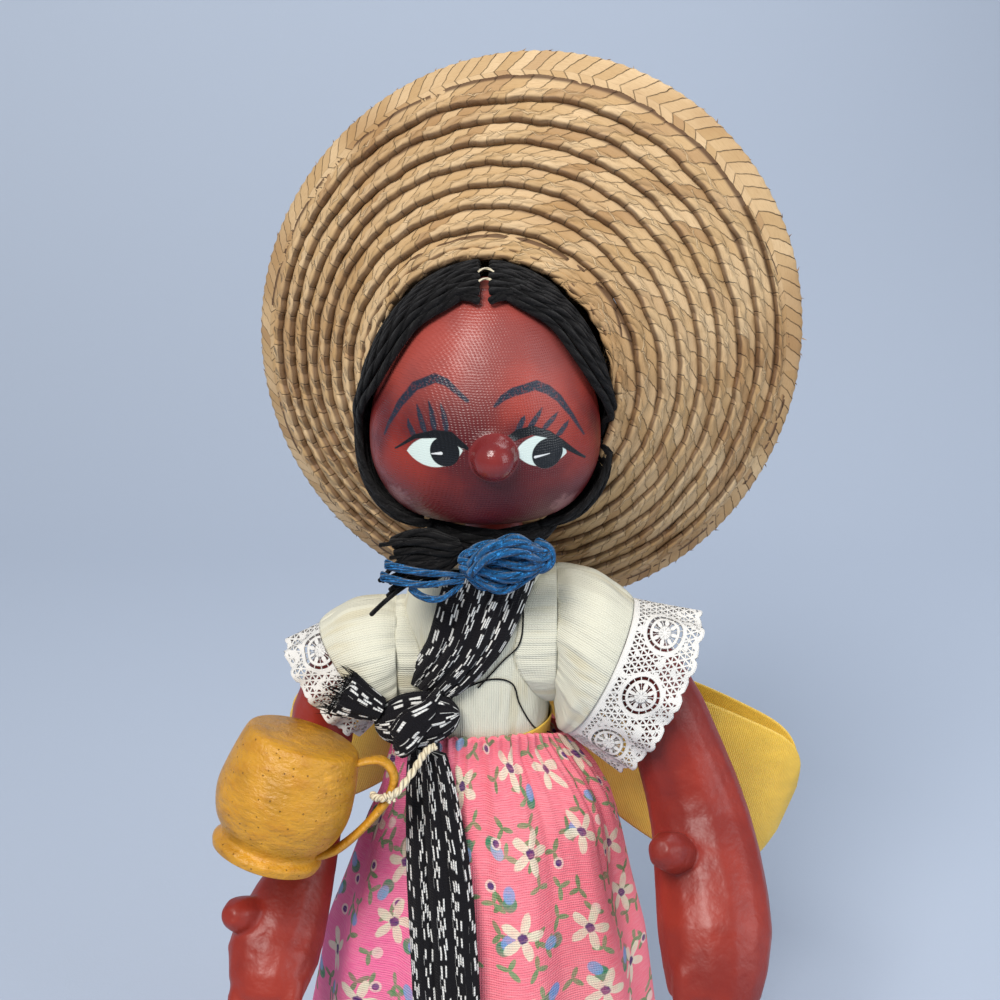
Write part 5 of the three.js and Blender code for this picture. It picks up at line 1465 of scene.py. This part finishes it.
class DOLL_OT_bow(bpy.types.Operator):
    """Tie the wide satin bow behind the waist, with its loops and tails"""

    bl_idname = "doll.bow"
    bl_label = "Satin bow"

    def execute(self, context):
        gold = finish_of(satin)
        place = -float(skirt_front(np.array(TORSO_CENTRE), 170.0)) + 3.7
        knot = pleated_sweep([(-8, place, 171, 3, 2.2), (-4, place, 172, 6.4, 4), (2, place, 172, 6.8, 4.2),
                              (8, place, 171, 3, 2.2)], 8, 41, depth=0.2)
        folded("bow_tie", [knot], gold, "bow_knot", "satin_ribbon")
        for name, rows in BOW_LOOPS.items():
            cloth("bow_" + name, self.loop(rows, place, 0.3 if name == "left" else -0.3), gold, 0.3,
                  ("doll_body", "satin_ribbon", "bow_loop_" + name), side=0.0, aim=(0, 0, 1e-9))
        for name, (rows, lift) in BOW_TAILS.items():
            cloth("bow_end_" + name, self.tail(rows, lift), gold, 0.3,
                  ("doll_body", "satin_ribbon", "bow_tail_" + name), aim=(0, 1, 0))
        return {"FINISHED"}

    def loop(self, rows, place, lean):
        """Ribbon that runs out along the front of a loop and back behind it."""
        out, share = spline(rows, 70), np.linspace(0, 1, 71)
        path = np.concatenate([out, out[::-1][1:]])
        run, front = np.r_[share, share[::-1][1:]][:, None], np.r_[-np.ones(71), np.ones(70)][:, None]
        across = np.linspace(-1, 1, 60)[None]
        middle = path[:, None, :3] + np.array([0, place, 0])
        rise = np.array([lean, 0, 1.0]) / math.hypot(lean, 1)
        tight = np.exp(-run * 4.5)
        wave = swirl(42, 1.1, across * 1.4, run * 1.5 + front * 3)
        crimp = np.sin(across * 9 + wave) * tight * 1.6 + 1.3 * wave * (1 - tight)
        room = path[:, 4:5] * front * np.sqrt(np.clip(1 - (abs(across) * 0.75) ** 4, 0.1, 1))
        bulge = room + crimp * np.clip(path[:, 4:5] / 4, 0, 1) * 0.7
        return middle + rise * (across * path[:, 3:4])[..., None] + np.array([0, 1, 0]) * bulge[..., None]

    def tail(self, rows, lift):
        """A tail that hangs over the skirt's back, with a notched end."""
        line = spline(rows, 60)
        across = np.linspace(-1, 1, 40)[None]
        x, z, half = line[:, :1], line[:, 1:2], line[:, 2:3]
        seat = -skirt_front(x - np.sign(x) * half, z) + lift
        wave = 0.7 * swirl(44, 1.0, across, z / 22) * np.clip((165 - z) / 20, 0, 1)
        notch = -5 * (1 - abs(across)) * np.clip((rows[-1][1] + 14 - z) / 14, 0, 1)
        return stacked(x + across * half, seat + np.abs(wave), z - notch)


# ---- Jug, limbs and stage


def clay():
    """Ochre painted clay with brush rings, darker and lighter in broad patches."""
    look = looks("jug")
    finish = Finish("painted_clay", Specular_IOR_Level=0.45)
    place = finish.place()
    u, v, _ = split(finish.flat())
    brush = noise(joined(u * 0.16, v * 0.3), 1.0, 3.0, 0.6)
    broad, grit = noise(place, 0.07, 3.0, 0.6), noise(place, 0.9, 4.0, 0.7)
    specks = smooth(cells(place, 0.45), 0.13, 0.06)
    colour = layered(
        tuple(look.clay), (smooth(brush, 0.42, 0.7) * 0.5, tuple(look.worn)),
        (smooth(broad, 0.52, 0.7) * 0.45, toned(look.clay, 0.6)),
        (smooth(broad, 0.46, 0.34) * 0.5, toned(look.clay, 1.5)), (specks * 0.5, (0.12, 0.05, 0.02)),
    )
    return finish.done(colour, 0.2 + grit * 0.25 + specks * 0.2, brush * 2.2 + grit * 0.7 - specks, 0.45)


def plain(name, colour, rough, grain, metal=0.0):
    """Leather, sole and wire: one colour with its grain."""
    finish = Finish(name, Metallic=metal)
    place = finish.place()
    fine, broad = noise(place, grain, 4.0, 0.6), noise(place, grain / 14)
    shade = layered(colour, (broad * 0.6, toned(colour, 0.55)), (fine * 0.3, toned(colour, 1.5, 0.02)))
    return finish.done(shade, rough + fine * 0.15, fine, 0.12)


# The jug in its own frame: radius and height of its wall from lip to foot, and the middle line of its handle.
JUG_WALL = [
    (14.6, 0), (15, 2), (13.4, 4.4), (16.6, 9.2), (18.2, 15.6), (17.7, 22.4), (16.5, 29), (15.3, 33), (13.9, 34),
]
JUG_HANDLE = [(13.1, 3.6), (18, 7.6), (22.8, 15.6), (26.4, 25.2), (25.8, 31.6), (21.2, 34.2), (14.8, 31)]
JUG_GRIP = (26, 0, 27.88)
WALL_THICKNESS = 1.8
STRING_START = (-15.0, -25.83, 186.0)


class DOLL_OT_jug(bpy.types.Operator):
    """Turn the clay jug and tie it on with its cotton string"""

    bl_idname = "doll.jug"
    bl_label = "Clay jug"

    def execute(self, context):
        tip, lean = (Matrix.Rotation(math.radians(angle), 4, axis) for angle, axis in zip(JUG_TURN, "XY"))
        place = Matrix.Translation(JUG_PLACE) @ tip @ lean
        wall = spline(JUG_WALL, 90)
        inner = spline([(r - WALL_THICKNESS, z) for r, z in JUG_WALL[:-1]] + [(10.4, 31.6)], 70)
        profile = np.concatenate([[(0.4, 34)], wall[::-1], [(wall[0, 0] - 0.9, -0.5)], inner, [(0.4, 31.6)]])
        angle, r, z = circle(180), profile[:, :1], profile[:, 1:]
        wobble = 0.16 * swirl(51, 6.0, np.cos(angle) * r * 0.7, np.sin(angle) * r * 0.7, z * 1.6) * (r > 2)
        points = stacked(np.cos(angle) * (r + wobble), np.sin(angle) * (r + wobble), z)
        body = Shape().grid(points, caps=True).solid("clay_jug", finish_of(clay), place)
        settle(body, "jug", "painted_clay", "jug_body")
        line, angle = spline(JUG_HANDLE, 70), circle(28)
        way = unit(np.gradient(line, axis=0))
        thick = np.cos(angle) * (1.2 + 0.12 * swirl(52, 5.0, np.arange(71)[:, None], angle))
        strap = stacked(line[:, :1] + way[:, 1:] * thick, np.sin(angle) * 2.4, line[:, 1:] - way[:, :1] * thick)
        handle = Shape().grid(strap, caps=True).solid("clay_handle", finish_of(clay), place)
        settle(handle, "jug", "painted_clay", "jug_handle")
        self.string(np.array(place @ Vector(JUG_GRIP)))
        return {"FINISHED"}

    def string(self, grip):
        """A string of two plies from the shawl's knot round the handle, with two turns that tie it."""
        tie = np.array(STRING_START)
        path = spline([tie, tie + (-2.5, -1.6, -0.8), (tie + grip) / 2 + (0, -1.6, -0.6), grip + (1.2, -4.1, 0.4),
                       grip + (-3, -3.8, -0.6), grip + (-4.6, -1, -1.6)], 90)
        way, rise, side = way_along(path)
        string = Shape()
        for ply in (0, math.pi):
            turn = column(0, 40, 91) + ply
            string.tube(path + (side * np.cos(turn) + rise * np.sin(turn)) * 0.5, 0.62, 8, ply)
        middle, way, rise, side = (row[58] for row in (path, way, rise, side))
        arc = column(-2.6, 2.6, 16)
        for shift in (-0.6, 0.7):
            ring = (side * np.cos(arc) + rise * np.sin(arc)) * 1.15
            string.tube(middle + way * (shift + arc * 0.18) + ring, 0.5)
        settle(string.piece("cotton_string", finish_of(cotton)), "jug", "cotton_thread", "jug_string")


def body_cloth():
    """Muslin of the body, with its neck painted like the face."""
    finish = Finish("muslin")
    place = finish.place()
    fine = noise(place, 1.2, 4.0, 0.6)
    paint = smooth(split(place)[2] + fine, COLLAR_HEIGHT - 1.0, COLLAR_HEIGHT)
    shade = layered((0.62, 0.52, 0.38), (fine * 0.5, (0.36, 0.28, 0.19)), (paint, tuple(looks("paint").skin)))
    return finish.done(shade, 0.85 - paint * 0.45, fine, 0.12)


def remeshed(name, node, voxel, rounds, finish):
    """A smooth skin over a copy of a CAD node, for a stuffed or a leather piece."""
    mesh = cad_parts[node].data
    thing = new_piece(name, [v.co[:] for v in mesh.vertices], [p.vertices[:] for p in mesh.polygons], finish)
    finished(
        thing,
        ("WELD", dict(merge_threshold=1e-5)),
        ("REMESH", dict(mode="VOXEL", voxel_size=voxel / 1000, use_smooth_shade=True)),
        ("SMOOTH", dict(factor=0.5, iterations=rounds)),
    )
    if not thing.data.materials:
        thing.data.materials.append(finish)
    return thing


class DOLL_OT_limbs(bpy.types.Operator):
    """Stuff the torso, arms and legs, and put on the shoes"""

    bl_idname = "doll.limbs"
    bl_label = "Body, arms, legs and shoes"

    def execute(self, context):
        leather = finish_of(plain, "shoe_leather", (0.03, 0.02, 0.018), 0.4, 1.0)
        sole = finish_of(plain, "sole_leather", (0.22, 0.12, 0.06), 0.7, 0.8)
        wire = finish_of(plain, "wire", (0.45, 0.44, 0.42), 0.35, 2.0, 1.0)
        stuffed = [("torso", "doll_body", "muslin", finish_of(body_cloth))]
        for side in ("left", "right"):
            stuffed.append(("arm_" + side, side + "_arm", "painted_cloth", finish_of(painted_cloth, "arm")))
            stuffed.append(("leg_" + side, "doll_body", "painted_cloth", finish_of(painted_cloth, "leg")))
        for node, body, slot, finish in stuffed:
            voxel, rounds = (0.8, 12) if "arm" in node else (1.5, 8)
            thing = remeshed("stuffed_" + node, node, voxel, rounds, finish)
            settle(thing, body, slot, node)
        for side in ("left", "right"):
            for part, voxel, rounds, finish in (("shoe", 1.2, 3, leather), ("sole", 0.8, 1, sole)):
                node = part + "_" + side
                settle(remeshed("leather_" + node, node, voxel, rounds, finish), "doll_body", part + "_leather", node)
        for node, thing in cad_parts.items():
            if "wire" in node:
                thing.data.materials.clear()
                thing.data.materials.append(wire)
        return {"FINISHED"}


def backdrop():
    """Pale paper sweep that is a little lighter at the top left."""
    look = looks("stage")
    finish = Finish("paper_sweep", Specular_IOR_Level=0.2)
    place = finish.place(1.0)
    x, _, z = split(place)
    grain = noise(place, 900.0)
    colour = layered(tuple(look.floor), (smooth(z - x * 0.35, 0.0, 0.7), tuple(look.wall)),
                     (grain * 0.06, (0.3, 0.32, 0.36)))
    return finish.done(colour, 0.8, grain, 0.05)


# Each lamp's name, place in metres, share of the key light's power and tint.
LAMPS = (
    ("key", (-0.42, -0.9, 1.35), 1.0, (1.0, 0.97, 0.93)),
    ("fill", (0.85, -0.45, 0.5), 0.17, (0.90, 0.95, 1.0)),
    ("back", (0.35, 0.5, 0.95), 0.17, (0.96, 0.98, 1.0)),
)
LAMP_SIZE = 0.6
LAMPS_AIM = (0, 0, 0.2)
CAMERA_PLACE = (-0.0080, -0.3312, 0.3796)
CAMERA_PITCH = math.radians(68)
CAMERA_LENS, CAMERA_SENSOR = 46.8, 36.0
ROOM_TINT = (0.78, 0.84, 0.92, 1)


class DOLL_OT_stage(bpy.types.Operator):
    """Set the pale sweep, the soft lights and the camera of the photo"""

    bl_idname = "doll.stage"
    bl_label = "Stage"

    def execute(self, context):
        scene, look = context.scene, looks("stage")
        arc = [(0.5 + 0.5 * math.sin(t), 0.5 - 0.5 * math.cos(t)) for t in np.linspace(0, math.pi / 2, 24)]
        profile = np.array([(-2.5, 0.0), (0.0, 0.0), *arc, (1.0, 2.4)])
        points = stacked(np.linspace(-2.6, 2.6, 9)[None], profile[:, :1], profile[:, 1:])
        faces = grid_faces(*points.shape[:2], False).tolist()
        sweep = new_piece("paper_sweep", points.reshape(-1, 3), faces, finish_of(backdrop))
        for name, spot, share, tint in LAMPS:
            lamp = linked(name, bpy.data.lights.new(name, "AREA"))
            lamp.data.energy, lamp.data.size, lamp.data.color = look.key * share, LAMP_SIZE, tint
            lamp.location = spot
            lamp.rotation_euler = (Vector(LAMPS_AIM) - Vector(spot)).to_track_quat("-Z", "Y").to_euler()
        scene.world = bpy.data.worlds.new("soft_room")
        scene.world.use_nodes = True
        air = scene.world.node_tree.nodes["Background"]
        air.inputs["Color"].default_value, air.inputs["Strength"].default_value = ROOM_TINT, look.room
        camera = linked("photo_camera", bpy.data.cameras.new("photo_camera"))
        camera.data.lens, camera.data.sensor_width = CAMERA_LENS, CAMERA_SENSOR
        camera.location = CAMERA_PLACE
        camera.rotation_euler = (CAMERA_PITCH, 0, 0)
        scene.camera = camera
        scene.view_settings.view_transform = "Standard"
        return {"FINISHED"}


# ---- Settings, panel and start


def colour(name, text, value):
    return FloatVectorProperty(name=name, description=text, default=value, size=3, min=0.0, max=1.0, subtype="COLOR")


def length(name, text, value, low, high):
    return FloatProperty(name=name, description=text, default=value, min=low, max=high, precision=5,
                         subtype="DISTANCE", unit="LENGTH")


class DOLL_PG_paint(bpy.types.PropertyGroup):
    """Paint of the head, arms and legs"""

    skin: colour("Skin", "Brick red paint of the face and arms", (0.30, 0.026, 0.013))
    # The deep colour also darkens the face towards the chin as painted shade, and the forehead colour pales its top
    # as a painted highlight.
    deep: colour("Deep skin", "Darker paint in the hollows and at the chin", (0.085, 0.005, 0.007))
    forehead: colour("Forehead", "Worn, paler paint on the forehead", (0.40, 0.095, 0.08))


class DOLL_PG_hair(bpy.types.PropertyGroup):
    """Yarn of the hair and its tie"""

    black: colour("Black yarn", "Colour of the hair", (0.007, 0.0065, 0.007))
    blue: colour("Blue yarn", "Colour of the tie", (0.004, 0.082, 0.22))
    strands: IntProperty(name="Strands", description="Yarns in each bank of hair", default=36, min=8, max=60)
    yarn_radius: length("Yarn radius", "Half the thickness of one yarn", 0.00105, 0.0005, 0.002)


class DOLL_PG_hat(bpy.types.PropertyGroup):
    """Straw of the hat"""

    straw: colour("Straw", "Common colour of the straw", (0.51, 0.33, 0.155))
    shade: colour("Shaded straw", "Darker straws", (0.34, 0.18, 0.066))
    light: colour("Light straw", "Palest straws", (0.69, 0.50, 0.29))
    # Painted shade in the seams, slots and recesses of the straw.
    gap: colour("Gap", "Colour between the straws", (0.07, 0.028, 0.012))
    pick: length("Pick", "Width of one plaited leaf along the braid", 0.0040, 0.001, 0.008)


class DOLL_PG_cloth(bpy.types.PropertyGroup):
    """Colours of the clothes"""

    blouse: colour("Blouse", "Cream ribbed knit", (0.73, 0.71, 0.575))
    lace: colour("Lace", "White cotton lace", (0.86, 0.84, 0.80))
    satin: colour("Satin", "Golden ribbon", (0.88, 0.56, 0.07))
    shawl: colour("Shawl", "Black cotton", (0.006, 0.0055, 0.007))
    fleck: colour("Flecks", "White flecks of the shawl", (0.90, 0.89, 0.85))
    calico: colour("Calico", "Ground of the skirt's print", (0.90, 0.15, 0.35))
    calico_left: colour("Calico, far side", "Ground of the print at the doll's left", (0.93, 0.19, 0.25))


class DOLL_PG_jug(bpy.types.PropertyGroup):
    """Paint of the jug"""

    clay: colour("Clay", "Ochre paint", (0.58, 0.275, 0.02))
    worn: colour("Worn clay", "Ochre where the brush left little paint", (0.44, 0.17, 0.012))


class DOLL_PG_stage(bpy.types.PropertyGroup):
    """Light and backdrop"""

    floor: colour("Floor", "Lower colour of the sweep", (0.40, 0.455, 0.55))
    wall: colour("Wall", "Upper colour of the sweep", (0.52, 0.585, 0.69))
    key: FloatProperty(name="Key light", description="Power of the main lamp", default=24.0, min=0.0, max=100.0,
                       subtype="POWER", unit="POWER")
    room: FloatProperty(name="Room light", description="Strength of the light from all round", default=0.34,
                        min=0.0, max=3.0, subtype="FACTOR")


GROUPS = {"paint": DOLL_PG_paint, "hair": DOLL_PG_hair, "hat": DOLL_PG_hat, "cloth": DOLL_PG_cloth,
          "jug": DOLL_PG_jug, "stage": DOLL_PG_stage}
OPERATORS = (DOLL_OT_head, DOLL_OT_hair, DOLL_OT_hair_tie, DOLL_OT_hat, DOLL_OT_limbs, DOLL_OT_blouse,
             DOLL_OT_skirt, DOLL_OT_shawl, DOLL_OT_bow, DOLL_OT_jug, DOLL_OT_stage)


class DOLL_PT_panel(bpy.types.Panel):
    """The doll's pieces and their settings"""

    bl_idname = "DOLL_PT_panel"
    bl_label = "Doll"
    bl_space_type = "VIEW_3D"
    bl_region_type = "UI"
    bl_category = "Doll"

    def draw(self, context):
        layout = self.layout
        for operator in OPERATORS:
            layout.operator(operator.bl_idname)
        for name, group in GROUPS.items():
            box = layout.box()
            box.label(text=name.capitalize())
            for item in group.__annotations__:
                box.prop(looks(name), item)


def register():
    for item in (*GROUPS.values(), *OPERATORS, DOLL_PT_panel):
        bpy.utils.register_class(item)
    for name, group in GROUPS.items():
        setattr(bpy.types.Scene, "doll_" + name, PointerProperty(type=group))


def unregister():
    for name in GROUPS:
        delattr(bpy.types.Scene, "doll_" + name)
    for item in (DOLL_PT_panel, *OPERATORS[::-1], *list(GROUPS.values())[::-1]):
        bpy.utils.unregister_class(item)


def main():
    register()
    for operator in OPERATORS:
        getattr(bpy.ops.doll, operator.bl_idname.split(".")[1])()


if __name__ == "__main__":
    main()
